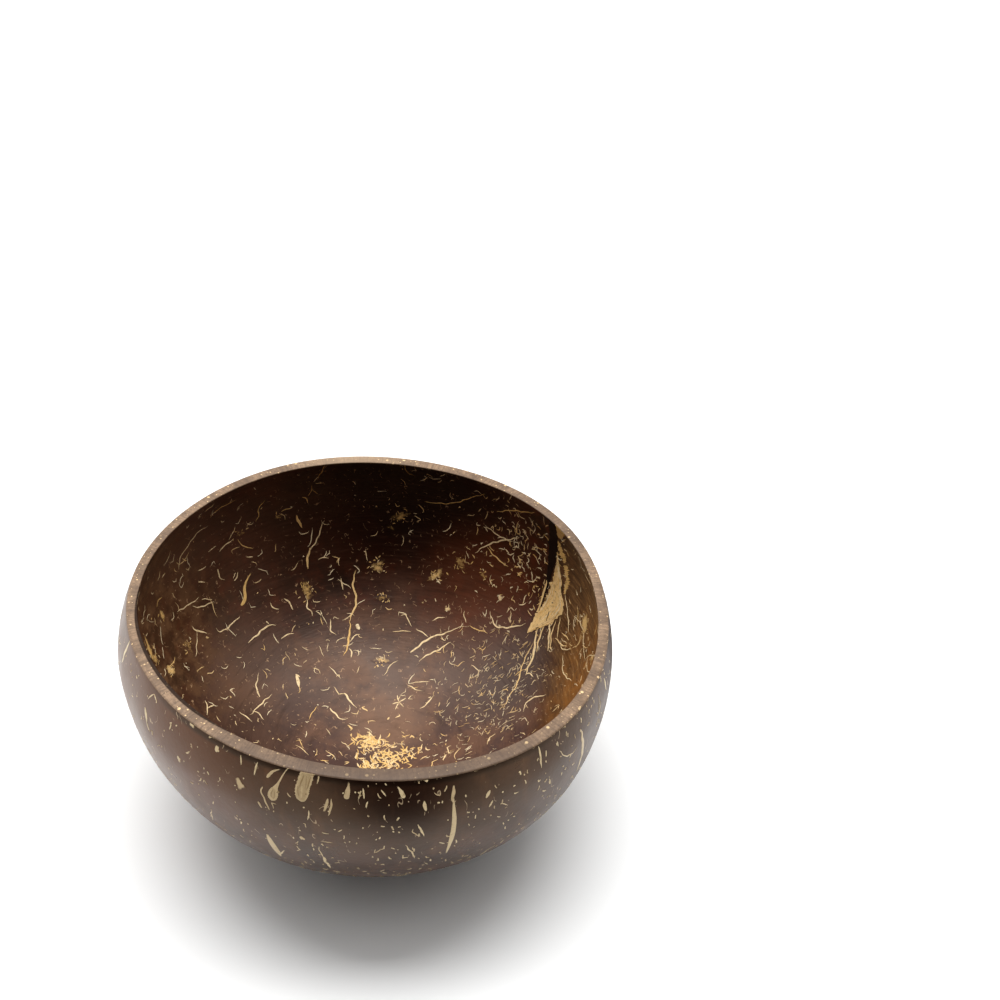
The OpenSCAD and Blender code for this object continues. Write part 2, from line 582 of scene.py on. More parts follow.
@dataclass(frozen=True)
class Region:
    """A soft round region of the bowl: its middle, core and outer radius in mm, and the colour laid there."""

    middle_mm: Point
    core_mm: float
    radius_mm: float
    share: float = 1.0
    colour: str = "#000000"

    def wire(self, tree: Tree, place: Socket) -> Socket:
        """Adds what gives one in the core and nothing outside the region.

        Args:
            tree: The node tree.
            place: Where on the piece the shader is.

        Returns:
            A value from nothing to one.
        """
        middle = tuple(c * MM for c in self.middle_mm)
        away = add_node(tree, "VectorMath", {"operation": "DISTANCE", 0: place, 1: middle})
        return Band(away.outputs["Value"], self.core_mm * MM, self.radius_mm * MM, 1.0, 0.0).wire(tree)

    def lay(self, tree: Tree, place: Socket, base: Socket, *shares: Share) -> Socket:
        """Lays the region's colour over another.

        Args:
            tree: The node tree.
            place: Where on the piece the shader is.
            base: The colour below.
            shares: Further shares, besides the region's own.

        Returns:
            The mixed colour.
        """
        return lay(tree, base, self.colour, self.wire(tree, place), *shares, self.share)


@dataclass(frozen=True)
class Hairs:
    """Short wandering hairlines: level lines of a cloudy pattern, broken up by another.

    It holds their spacing, their half width as a share of the pattern's range, the level of the second
    pattern above which a line shows, and how much finer the pattern is along each axis.
    """

    spacing_mm: float
    line: float
    sparse: float
    finer: Point = (1, 1, 1)
    half: float = 0.5
    core_share: float = 0.4
    breaks_share: float = 0.55
    breaks_fade: float = 0.05

    def wire(self, tree: Tree, place: Socket) -> Socket:
        """Adds what gives one on a line and nothing beside it.

        Args:
            tree: The node tree.
            place: Where on the piece the shader is.

        Returns:
            A value from nothing to one.
        """
        pattern = Clouds(self.spacing_mm, 1.0, finer=self.finer).wire(tree, place)
        off = add_node(tree, "Math", {"operation": "SUBTRACT", 0: pattern, 1: self.half}).outputs[0]
        distance = add_node(tree, "Math", {"operation": "ABSOLUTE", 0: off}).outputs[0]
        breaks = Clouds(self.breaks_share * self.spacing_mm, 1.0, finer=self.finer).wire(tree, place)
        return overlap(
            tree, Band(distance, self.core_share * self.line, self.line, 1.0, 0.0),
            Band(breaks, self.sparse, self.sparse + self.breaks_fade),
        )


@dataclass(frozen=True)
class Specks:
    """Small round specks in a share of the cells that the surface is split into.

    A level surface is split in two dimensions, so that the middle of every cell lies on it.
    """

    spacing_mm: float
    radius_mm: float
    share: float
    level: bool = False
    core_share: float = 0.6
    share_fade: float = 0.02

    def wire(self, tree: Tree, place: Socket) -> Socket:
        """Adds what gives one on a speck and nothing beside it.

        Args:
            tree: The node tree.
            place: Where on the piece the shader is.

        Returns:
            A value from nothing to one.
        """
        cells = add_node(tree, "TexVoronoi", {
            "voronoi_dimensions": "2D" if self.level else "3D",
            "Vector": place, "Scale": per(self.spacing_mm * MM),
        }).outputs
        radius = self.radius_mm / self.spacing_mm
        chance = add_node(tree, "SeparateColor", {0: cells["Color"]}).outputs[0]
        return overlap(
            tree, Band(cells["Distance"], self.core_share * radius, radius, 1.0, 0.0),
            Band(chance, self.share - self.share_fade, self.share, 1.0, 0.0),
        )


def under_saw(tree: Tree, place: Socket, depth: float) -> Band:
    """Finds the band of the wall that lies just below the sloping saw cut.

    Args:
        tree: The node tree.
        place: Where on the piece the shader is.
        depth: Depth at which the band has faded out, in metres.

    Returns:
        One at the saw cut, and nothing below the band.
    """
    nut = Nut()
    slope = (nut.saw_fall, 0.0, 1.0)
    level = add_node(tree, "VectorMath", {"operation": "DOT_PRODUCT", 0: place, 1: slope}).outputs["Value"]
    top = nut.belly_h + nut.rim_rise
    return Band(level, top - depth, top - 0.5 * depth)


class Finish:
    """What all finishes share: a material of its own name, whose Principled shader the finish feeds."""

    name: str = "finish"

    def build(self) -> bpy.types.Material:
        """Builds the material.

        Returns:
            The material.
        """
        material = bpy.data.materials.new(self.name)
        material.use_nodes = True
        tree = material.node_tree
        place = add_node(tree, "TexCoord").outputs["Object"]
        feed(tree, tree.nodes["Principled BSDF"], self.wire(tree, place))
        return material

    def wire(self, tree: Tree, place: Socket) -> Settings:
        """Wires what the shader is fed with. Each finish has its own way."""
        raise NotImplementedError


@dataclass(frozen=True)
class InnerShell(Finish):
    """Coconut endocarp, sanded on a spinning tool and oiled: nearly black, red where thin, soft gloss."""

    name: str = "oiled_endocarp_inside"
    darkest: str = "#200a03"
    middling: str = "#3a1708"
    reddish: str = "#54200c"
    warm: str = "#5f4233"
    mauve: str = "#44302b"
    olive: str = "#7a5836"
    golden: str = "#c0945c"
    dark_streak: str = "#442d1a"
    hair: str = "#c9a27a"
    sheen: str = "#ffe3cc"
    gloss: float = 0.32
    roughness: float = 0.42
    roughness_swing: float = 0.06
    wide_clouds: Clouds = Clouds(19, 6.0, 0.62)
    red_clouds: Clouds = Clouds(7, 5.0, 0.65)
    low_clouds: Clouds = Clouds(13, 6.0, 0.68)
    blotches: Clouds = Clouds(5, 5.0, 0.7)
    rings: Clouds = Clouds(11, 5.0, 0.7, (1, 1, 14))
    grain: Clouds = Clouds(6, 5.0, 0.75, (1, 1, 9))
    wear: Clouds = Clouds(12, 4.0)
    scratches: Clouds = Clouds(3, 3.0, finer=(1, 1, 8))
    scratch_depth: float = 0.05 * MM
    middling_spread: Spread = (0.40, 0.60)
    reddish_spread: Spread = (0.48, 0.72, 0.0, 0.7)
    warm_spread: Spread = (0.42, 0.62)
    dark_ring_spread: Spread = (0.5, 0.74, 0.0, 0.5)
    warm_ring_spread: Spread = (0.28, 0.5, 0.22, 0.0)
    olive_spread: Spread = (0.36, 0.6)
    golden_spread: Spread = (0.56, 0.72)
    amber_spread: Spread = (0.36, 0.64, 0.25, 1.0)
    amber_grain_spread: Spread = (0.6, 0.74, 0.0, 0.7)
    tan_spread: Spread = (0.42, 0.64, 0.3, 1.0)
    wear_spread: Spread = (0.3, 0.7)
    border_swing: float = 18 * MM
    pale_low: tuple[float, float] = (8 * MM, 30 * MM)
    # Painted shade: the upper back wall is painted near black
    back_wall_shade: Region = Region((8, 66, 56), 14, 50, 0.85, "#040101")
    stains_and_painted_light: tuple[Region, ...] = (
        # The two dark mauve-brown patches low on the left are painted shade of the near wall
        # The two slate-grey patches are painted bluish reflection
        Region((38, 23, 18), 6, 27, 0.85, "#52443e"), Region((-40, 18, 17), 4, 22, 0.3, "#52443e"),
        Region((-42, 52, 50), 8, 38, 0.45, "#5f4233"), Region((-44, 26, 20), 6, 24, 0.35, "#6e5446"),
        Region((-42, 12, 15), 3, 15, 0.35, "#6c4a32"), Region((-36, 0, 12), 5, 20, 0.55, "#2c1c18"),
        Region((-50, -3, 24), 4, 18, 0.4, "#2c1c18"), Region((-27, 60, 40), 4, 24, 0.5, "#200a03"),
        Region((29, 49, 29), 6, 30, 0.5, "#5e2e18"), Region((-58, 28, 62), 6, 24, 0.5, "#5f4233"),
        Region((1, 13, 4), 5, 18, 0.35, "#8c6c56"),
    )
    thin_wall: Region = Region((62, 6, 50), 18, 38, 0.9)
    amber: Region = Region((61, -8, 40), 8, 34, 1.0, "#8e5a26")
    tan: Region = Region((-62, 8, 46), 8, 46, 1.0, "#6c4c32")
    # Painted shade: a dark line just below the rim on the left
    under_rim_shade: Region = Region((-60, -18, 68), 24, 44, 1.0, "#120704")
    under_rim_shade_depth: float = 4.4 * MM
    hairlines: Hairs = Hairs(2.6, 0.014, 0.58)
    hairline_share: float = 0.5
    dots: Specks = Specks(2.6, 0.17, 0.3)
    dot_share: float = 0.8

    def colour(self, tree: Tree, place: Socket) -> Socket:
        """Wires the colour of the bare inner wall.

        Args:
            tree: The node tree.
            place: Where on the piece the shader is.

        Returns:
            The colour.
        """
        clouds = self.wide_clouds.wire(tree, place)
        base = lay(tree, self.darkest, self.middling, Band(clouds, *self.middling_spread))
        base = lay(tree, base, self.reddish, Band(self.red_clouds.wire(tree, place), *self.reddish_spread))
        # Painted shade: the back wall, which faces the camera's side and gets little light, is painted near
        # black
        base = self.back_wall_shade.lay(tree, place, base)
        # Low down the shell is thick and pale, and the border follows the clouds
        height = add_node(tree, "SeparateXYZ", {0: place}).outputs[2]
        uneven = add_node(tree, "Math", {
            "operation": "MULTIPLY_ADD", 0: clouds, 1: -self.border_swing, 2: self.border_swing / 2,
        }).outputs[0]
        level = add_node(tree, "Math", {"operation": "ADD", 0: height, 1: uneven}).outputs[0]
        low_clouds = self.low_clouds.wire(tree, place)
        low_colour = lay(tree, self.mauve, self.warm, Band(low_clouds, *self.warm_spread))
        base = lay(tree, base, low_colour, Band(level, *self.pale_low, 1.0, 0.0))
        # Stains, with painted reflection and painted shade among them
        for colour_region in self.stains_and_painted_light:
            base = colour_region.lay(tree, place, base)
        # A spinning sander leaves rings, here drawn 0.8 mm apart so that they show
        rings = self.rings.wire(tree, place)
        base = lay(tree, base, self.darkest, Band(rings, *self.dark_ring_spread))
        base = lay(tree, base, self.warm, Band(rings, *self.warm_ring_spread))
        # The thin, fibrous wall beside the wide bundle is olive brown, drawn out into fine streaks
        grain = self.grain.wire(tree, place)
        streaked = lay(tree, self.dark_streak, self.olive, Band(grain, *self.olive_spread))
        streaked = lay(tree, streaked, self.golden, Band(grain, *self.golden_spread))
        base = lay(tree, base, streaked, self.thin_wall.wire(tree, place), self.thin_wall.share)
        # Towards the camera it turns to amber
        blotches = self.blotches.wire(tree, place)
        base = self.amber.lay(tree, place, base, Band(blotches, *self.amber_spread))
        golden = Band(grain, *self.amber_grain_spread)
        base = lay(tree, base, self.golden, self.amber.wire(tree, place), golden)
        base = self.tan.lay(tree, place, base, Band(blotches, *self.tan_spread))
        # Painted shade: on the left a dark line is painted just below the rim, where the inner wall lies in
        # shade
        return self.under_rim_shade.lay(tree, place, base, under_saw(tree, place, self.under_rim_shade_depth))

    def wire(self, tree: Tree, place: Socket) -> Settings:
        """Wires colour, gloss and relief.

        Args:
            tree: The node tree.
            place: Where on the piece the shader is.

        Returns:
            What the shader is fed with.
        """
        base = lay(
            tree, self.colour(tree, place), self.hair, self.hairlines.wire(tree, place), self.hairline_share
        )
        low, high = self.roughness - self.roughness_swing, self.roughness + self.roughness_swing
        relief = {"Strength": 1.0, "Distance": self.scratch_depth, "Height": self.scratches.wire(tree, place)}
        return {
            "Base Color": lay(tree, base, self.hair, self.dots.wire(tree, place), self.dot_share),
            "Roughness": Band(self.wear.wire(tree, place), *self.wear_spread, low, high).wire(tree),
            "Specular IOR Level": self.gloss,
            "Specular Tint": self.sheen,
            "Normal": add_node(tree, "Bump", relief).outputs[0],
        }


@dataclass(frozen=True)
class OuterShell(Finish):
    """Coconut endocarp, sanded and oiled on the outside: dark umber with a soft gloss and pale pin specks."""

    name: str = "oiled_endocarp_outside"
    darkest: str = "#28140c"
    middling: str = "#3b2114"
    reddish: str = "#543520"
    speck: str = "#dcc09a"
    sheen: str = "#ffd3a8"
    gloss: float = 0.5
    worn_gloss: float = 0.06
    roughness: float = 0.33
    roughness_swing: float = 0.06
    worn_roughness: float = 0.22
    clouds: Clouds = Clouds(13, 5.0, 0.6)
    upright: Clouds = Clouds(4, 4.0, finer=(1, 1, 0.25))
    wear: Clouds = Clouds(15, 4.0)
    pores: Clouds = Clouds(1.6, 3.0)
    pore_depth: float = 0.05 * MM
    middling_spread: Spread = (0.38, 0.6)
    reddish_spread: Spread = (0.5, 0.78, 0.0, 0.7)
    wear_spread: Spread = (0.3, 0.7)
    stains_and_painted_light: tuple[Region, ...] = (
        # The three near-black patches below the front rim are painted shade, and the pale patch on the left
        # is painted light
        Region((11, -68, 66), 4, 30, 0.75, "#180905"), Region((-32, -62, 67), 4, 22, 0.5, "#180905"),
        Region((44, -52, 56), 4, 22, 0.45, "#180905"), Region((-42, -54, 60), 6, 34, 0.5, "#5c3018"),
        Region((-66, -22, 38), 8, 52, 0.75, "#704c33"),
    )
    # Painted shade: a dark band just below the rim at the front
    under_rim_shade: Region = Region((0, -68, 67), 40, 66, 0.85, "#0e0402")
    under_rim_shade_depth: float = 2.2 * MM
    rubbed_right: Region = Region((74, 4, 44), 18, 52)
    rubbed_front: Region = Region((13, -67, 66), 1, 26)
    dots: Specks = Specks(2.4, 0.18, 0.34)
    dot_share: float = 0.8
    hairlines: Hairs = Hairs(3.2, 0.012, 0.6, (1, 1, 0.5))
    hairline_share: float = 0.45

    def colour(self, tree: Tree, place: Socket) -> Socket:
        """Wires the colour of the bare outer wall.

        Args:
            tree: The node tree.
            place: Where on the piece the shader is.

        Returns:
            The colour.
        """
        clouds, upright = self.clouds.wire(tree, place), self.upright.wire(tree, place)
        base = lay(tree, self.darkest, self.middling, Band(clouds, *self.middling_spread))
        base = lay(tree, base, self.reddish, Band(upright, *self.reddish_spread))
        # Painted shade darkens the wall below the rim at the front, and painted light makes its left side
        # paler
        for colour_region in self.stains_and_painted_light:
            base = colour_region.lay(tree, place, base)
        return self.under_rim_shade.lay(tree, place, base, under_saw(tree, place, self.under_rim_shade_depth))

    def wire(self, tree: Tree, place: Socket) -> Settings:
        """Wires colour, gloss and relief.

        Args:
            tree: The node tree.
            place: Where on the piece the shader is.

        Returns:
            What the shader is fed with.
        """
        base = lay(tree, self.colour(tree, place), self.speck, self.dots.wire(tree, place), self.dot_share)
        # Handling has worn the oil off on the right side and below the rim at the front
        right, front = self.rubbed_right.wire(tree, place), self.rubbed_front.wire(tree, place)
        rubbed = add_node(tree, "Math", {"operation": "MAXIMUM", 0: right, 1: front}).outputs[0]
        low, high = self.roughness - self.roughness_swing, self.roughness + self.roughness_swing
        uneven = Band(self.wear.wire(tree, place), *self.wear_spread, low, high).wire(tree)
        matt = {"operation": "MULTIPLY_ADD", 0: right, 1: self.worn_roughness, 2: uneven}
        relief = {"Strength": 1.0, "Distance": self.pore_depth, "Height": self.pores.wire(tree, place)}
        return {
            "Base Color": lay(tree, base, self.speck, self.hairlines.wire(tree, place), self.hairline_share),
            "Roughness": add_node(tree, "Math", matt).outputs[0],
            "Specular IOR Level": Band(rubbed, 0.0, 1.0, self.gloss, self.worn_gloss).wire(tree),
            "Specular Tint": self.sheen,
            "Normal": add_node(tree, "Bump", relief).outputs[0],
        }


@dataclass(frozen=True)
class SawnRim(Finish):
    """Endocarp across its thickness, sawn and sanded square: pinkish tan, matt, with fine marks across it."""

    name: str = "sanded_endocarp_edge"
    pale: str = "#8f7357"
    dull: str = "#6c543d"
    mark: str = "#45301f"
    # Painted shade along the inner edge of the rim on the left
    lip_shade: str = "#1c0d06"
    fleck: str = "#ecca94"
    roughness: float = 0.62
    gloss: float = 0.5
    lip_shade_gloss: float = 0.1
    clouds: Clouds = Clouds(6, 5.0, 0.65)
    ticks: Clouds = Clouds(9, 1.0)
    grain: Clouds = Clouds(0.7, 4.0, 0.7)
    relief_depth: float = 0.06 * MM
    relief_grain_share: float = 0.5
    pale_spread: Spread = (0.36, 0.64)
    tick_spread: Spread = (0.46, 0.64, 0.0, 0.42)
    grain_spread: Spread = (0.42, 0.72, 0.0, 0.65)
    lip_shade_spread: Spread = (-0.1, 0.0, 1.0, 0.0)
    flecks: tuple[Specks, ...] = (
        Specks(2.3, 0.26, 0.3, level=True), Specks(4.6, 0.5, 0.3, level=True),
        Specks(1.3, 0.15, 0.2, level=True),
    )
    fleck_share: float = 0.9
    darkened: tuple[Region, ...] = (
        Region((57, 38, 63), 8, 34, 0.42, "#45301f"), Region((12, -70, 66), 10, 60, 0.75, "#45301f"),
    )
    lip_shade_region: Region = Region((-57, -37, 69), 17, 45, 0.4)
    lip_shade_share: float = 0.92
    # The back of the rim is made paler
    paler_back: Region = Region((-12, 69, 68), 4, 24, 0.3, "#bfa484")

    def wire(self, tree: Tree, place: Socket) -> Settings:
        """Wires colour, gloss and relief.

        Args:
            tree: The node tree.
            place: Where on the piece the shader is.

        Returns:
            What the shader is fed with.
        """
        base = lay(tree, self.dull, self.pale, Band(self.clouds.wire(tree, place), *self.pale_spread))
        # The marks run across the wall, so their pattern turns with the rim and not with the radius
        flat = add_node(tree, "VectorMath", {"operation": "MULTIPLY", 0: place, 1: (1, 1, 0)}).outputs[0]
        round_rim = add_node(tree, "VectorMath", {"operation": "NORMALIZE", 0: flat}).outputs[0]
        ticks = self.ticks.wire(tree, round_rim)
        base = lay(tree, base, self.mark, Band(ticks, *self.tick_spread))
        for flecks in self.flecks:
            base = lay(tree, base, self.fleck, flecks.wire(tree, place), self.fleck_share)
        grain = self.grain.wire(tree, place)
        base = lay(tree, base, self.mark, Band(grain, *self.grain_spread))
        # The rim has darkened on the right, and most where it faces the camera
        for colour_region in self.darkened:
            base = colour_region.lay(tree, place, base)
        # Painted shade: on the left a dark band is painted in from the inner edge, where the rounded inner
        # lip lies in shade
        across = add_node(tree, "Attribute", {"attribute_name": "across"}).outputs["Fac"]
        beyond = add_node(tree, "Math", {
            "operation": "MULTIPLY_ADD", 0: self.lip_shade_region.wire(tree, place), 1: -self.lip_shade_region.share, 2: across,
        }).outputs[0]
        lip_shade = Band(beyond, *self.lip_shade_spread).wire(tree)
        base = lay(tree, base, self.lip_shade, lip_shade, self.lip_shade_share)
        height = lay(tree, ticks, grain, self.relief_grain_share)
        relief = {"Strength": 1.0, "Distance": self.relief_depth, "Height": height}
        return {
            "Base Color": self.paler_back.lay(tree, place, base),
            "Roughness": self.roughness,
            "Specular IOR Level": Band(lip_shade, 0.0, 1.0, self.gloss, self.lip_shade_gloss).wire(tree),
            "Normal": add_node(tree, "Bump", relief).outputs[0],
        }


@dataclass(frozen=True)
class CoirFibre(Finish):
    """Coir fibre sanded flush with the shell and oiled: straw coloured, browner where it lies thin.

    The wall that the fibre lies in shows through where the attribute "cover" falls below one.
    """

    name: str = "coir_fibre_inside"
    wall: InnerShell | OuterShell = InnerShell()
    pale: str = "#eedab2"
    straw: str = "#e2b66e"
    brown: str = "#7c5a36"
    pith: Clouds = Clouds(1.1, 3.0, 0.65)
    pith_depth: float = 0.03 * MM
    pale_spread: Spread = (0.5, 1.0)
    brown_spread: Spread = (0.0, 0.5, 1.0, 0.0)
    pith_spread: Spread = (0.5, 0.72, 0.0, 0.55)
    cover_spread: Spread = (0.75, 1.15)

    def wire(self, tree: Tree, place: Socket) -> Settings:
        """Wires colour, gloss and relief.

        Args:
            tree: The node tree.
            place: Where on the piece the shader is.

        Returns:
            What the shader is fed with.
        """
        tone = add_node(tree, "Attribute", {"attribute_name": "tone"}).outputs["Fac"]
        cover = add_node(tree, "Attribute", {"attribute_name": "cover"}).outputs["Fac"]
        pith = self.pith.wire(tree, place)
        fibre = lay(tree, self.straw, self.pale, Band(tone, *self.pale_spread))
        fibre = lay(tree, fibre, self.brown, Band(tone, *self.brown_spread))
        fibre = lay(tree, fibre, self.brown, Band(pith, *self.pith_spread))
        ragged = add_node(tree, "Math", {"operation": "ADD", 0: cover, 1: pith}).outputs[0]
        relief = {"Strength": 1.0, "Distance": self.pith_depth, "Height": pith}
        return {
            "Base Color": lay(tree, self.wall.colour(tree, place), fibre, Band(ragged, *self.cover_spread)),
            "Roughness": self.wall.roughness,
            "Specular IOR Level": self.wall.gloss,
            "Specular Tint": self.wall.sheen,
            "Normal": add_node(tree, "Bump", relief).outputs[0],
        }


@dataclass(frozen=True)
class DarkPithAndShade(Finish):
    """Pith left in the pits and splits of a bundle, and painted shade by the ridge: almost black, with the
    gloss of the oil.
    """

    name: str = "dark_pith_and_shade"
    deep: str = "#080302"
    brown: str = "#1c0c06"
    roughness: float = 0.5
    gloss: float = 0.15
    crumbs: Clouds = Clouds(3, 3.0)
    crumb_depth: float = 0.1 * MM

    def wire(self, tree: Tree, place: Socket) -> Settings:
        """Wires colour, gloss and relief.

        Args:
            tree: The node tree.
            place: Where on the piece the shader is.

        Returns:
            What the shader is fed with.
        """
        crumbs = self.crumbs.wire(tree, place)
        relief = {"Strength": 1.0, "Distance": self.crumb_depth, "Height": crumbs}
        return {
            "Base Color": lay(tree, self.deep, self.brown, crumbs),
            "Roughness": self.roughness,
            "Specular IOR Level": self.gloss,
            "Normal": add_node(tree, "Bump", relief).outputs[0],
        }


@dataclass(frozen=True)
class WhiteBoard(Finish):
    """A painted white board under the bowl: matt and even."""

    name: str = "painted_board"
    white: str = "#f6f6f5"
    shade: str = "#f1f2f2"
    roughness: float = 0.7
    clouds: Clouds = Clouds(120, 2.0)

    def wire(self, tree: Tree, place: Socket) -> Settings:
        """Wires colour and gloss.

        Args:
            tree: The node tree.
            place: Where on the piece the shader is.

        Returns:
            What the shader is fed with.
        """
        colour = lay(tree, self.white, self.shade, self.clouds.wire(tree, place))
        return {"Base Color": colour, "Roughness": self.roughness}


class Taper(Enum):
    """How a fibre's width runs along it: the powers of its rise from the start and of its fall to the end."""

    NEEDLE = (0.7, 0.7)
    BLUNT = (0.25, 0.25)
    HEAD_FIRST = (0.35, 1.1)
    HEAD_LAST = (1.1, 0.35)

    def share(self, t: np.ndarray) -> np.ndarray:
        """Finds how wide the fibre is at places along it.

        Args:
            t: Places, from nothing at its start to one at its end.

        Returns:
            The width at each, as a share of the widest.
        """
        rise, fall = self.value
        peak = rise / (rise + fall)
        width = (t ** rise) * ((1 - t) ** fall)
        return width / (peak ** rise * (1 - peak) ** fall)


NEEDLE, BLUNT, HEAD_FIRST, HEAD_LAST = Taper.NEEDLE, Taper.BLUNT, Taper.HEAD_FIRST, Taper.HEAD_LAST


@dataclass(frozen=True)
class Trace:
    """A fibre followed in the photograph: its places in the 1000 x 1000 frame and its width in mm."""

    path_px: tuple[tuple[float, float], ...]
    width_mm: float = 0.32
    taper: Taper = Taper.NEEDLE
    tone: float = 0.8
    lift_mm: float = 0.0


@dataclass(frozen=True)
class Charted:
    """A fibre on the side that the photograph doesn't show: longitudes and latitudes, and its width in mm."""

    path_deg: tuple[tuple[float, float], ...]
    width_mm: float
    tone: float = 0.7


@dataclass
class Lay:
    """Fibres that lie in one skin of the wall, as the rays to the left and right edge of each, row by row."""

    left: list[np.ndarray] = field(default_factory=list)
    right: list[np.ndarray] = field(default_factory=list)
    lift: list[float] = field(default_factory=list)
    tone: list[float] = field(default_factory=list)
    cover: list[np.ndarray] = field(default_factory=list)

    def add(self, left: np.ndarray, right: np.ndarray, lift: float, tone: float, cover: np.ndarray) -> None:
        """Adds one fibre.

        Args:
            left: Rays to its left edge.
            right: Rays to its right edge.
            lift: Height of its crown above the skin.
            tone: How pale it is, from nothing to one.
            cover: How far it hides the wall, for each row.
        """
        self.left.append(left)
        self.right.append(right)
        self.lift.append(lift)
        self.tone.append(tone)
        self.cover.append(cover)


@dataclass(frozen=True)
class Plank:
    """A fibre as stock: a flat tube of unit length, modelled once and then bent onto the wall many times."""

    rows: int
    sides: int = 6
    sink: float = 0.3 * MM
    edge_lift: float = 0.015 * MM

    def model(self) -> Stock:
        """Models the plank along X, split into rows.

        Returns:
            Its vertices in unit sizes, and its faces.
        """
        deselect()
        along_x = (0, TURN / 4, 0)
        bpy.ops.mesh.primitive_cylinder_add(vertices=self.sides, radius=0.5, depth=1, rotation=along_x)
        stock = bpy.context.object
        bpy.ops.object.transform_apply(location=True, rotation=True, scale=True)
        start_selection("EDGE")
        for edge in stock.data.edges:
            a, b = (stock.data.vertices[i].co for i in edge.vertices)
            edge.select = abs(a.x - b.x) > 0.5
        bpy.ops.object.mode_set(mode="EDIT")
        bpy.ops.mesh.subdivide(number_cuts=self.rows - 2)
        bpy.ops.object.mode_set(mode="OBJECT")
        return take_apart(stock)

    def bend(self, nut: Nut, side: Side, lay: Lay, name: str) -> bpy.types.Object:
        """Bends one copy of the plank onto the wall for each fibre of a lay.

        Args:
            nut: The surface that the fibres follow.
            side: The skin that they lie in.
            lay: The fibres.
            name: Name of the piece.

        Returns:
            All the copies as one piece.
        """
        points, faces = self.model()
        row = np.rint((points[:, 0] + 0.5) * (self.rows - 1)).astype(int)
        across = points[:, 1] + 0.5
        crown = points[:, 2] / np.abs(points[:, 2]).max()
        left, right = np.array(lay.left)[:, row], np.array(lay.right)[:, row]
        rays = unit(left * (1 - across)[:, None] + right * across[:, None])
        above = np.array(lay.lift)[:, None] * np.maximum(crown, 0)
        lift = above + self.sink * np.minimum(crown, 0) + self.edge_lift
        if side is Side.OUTSIDE:
            faces = [face[::-1] for face in faces]
        count = len(points)
        all_faces = [[v + count * i for v in face] for i in range(len(lay.left)) for face in faces]
        shading = {"tone": np.repeat(lay.tone, count), "cover": np.array(lay.cover)[:, row].ravel()}
        return new_piece(name, nut.place(side, rays, lift).reshape(-1, 3), all_faces, shading)


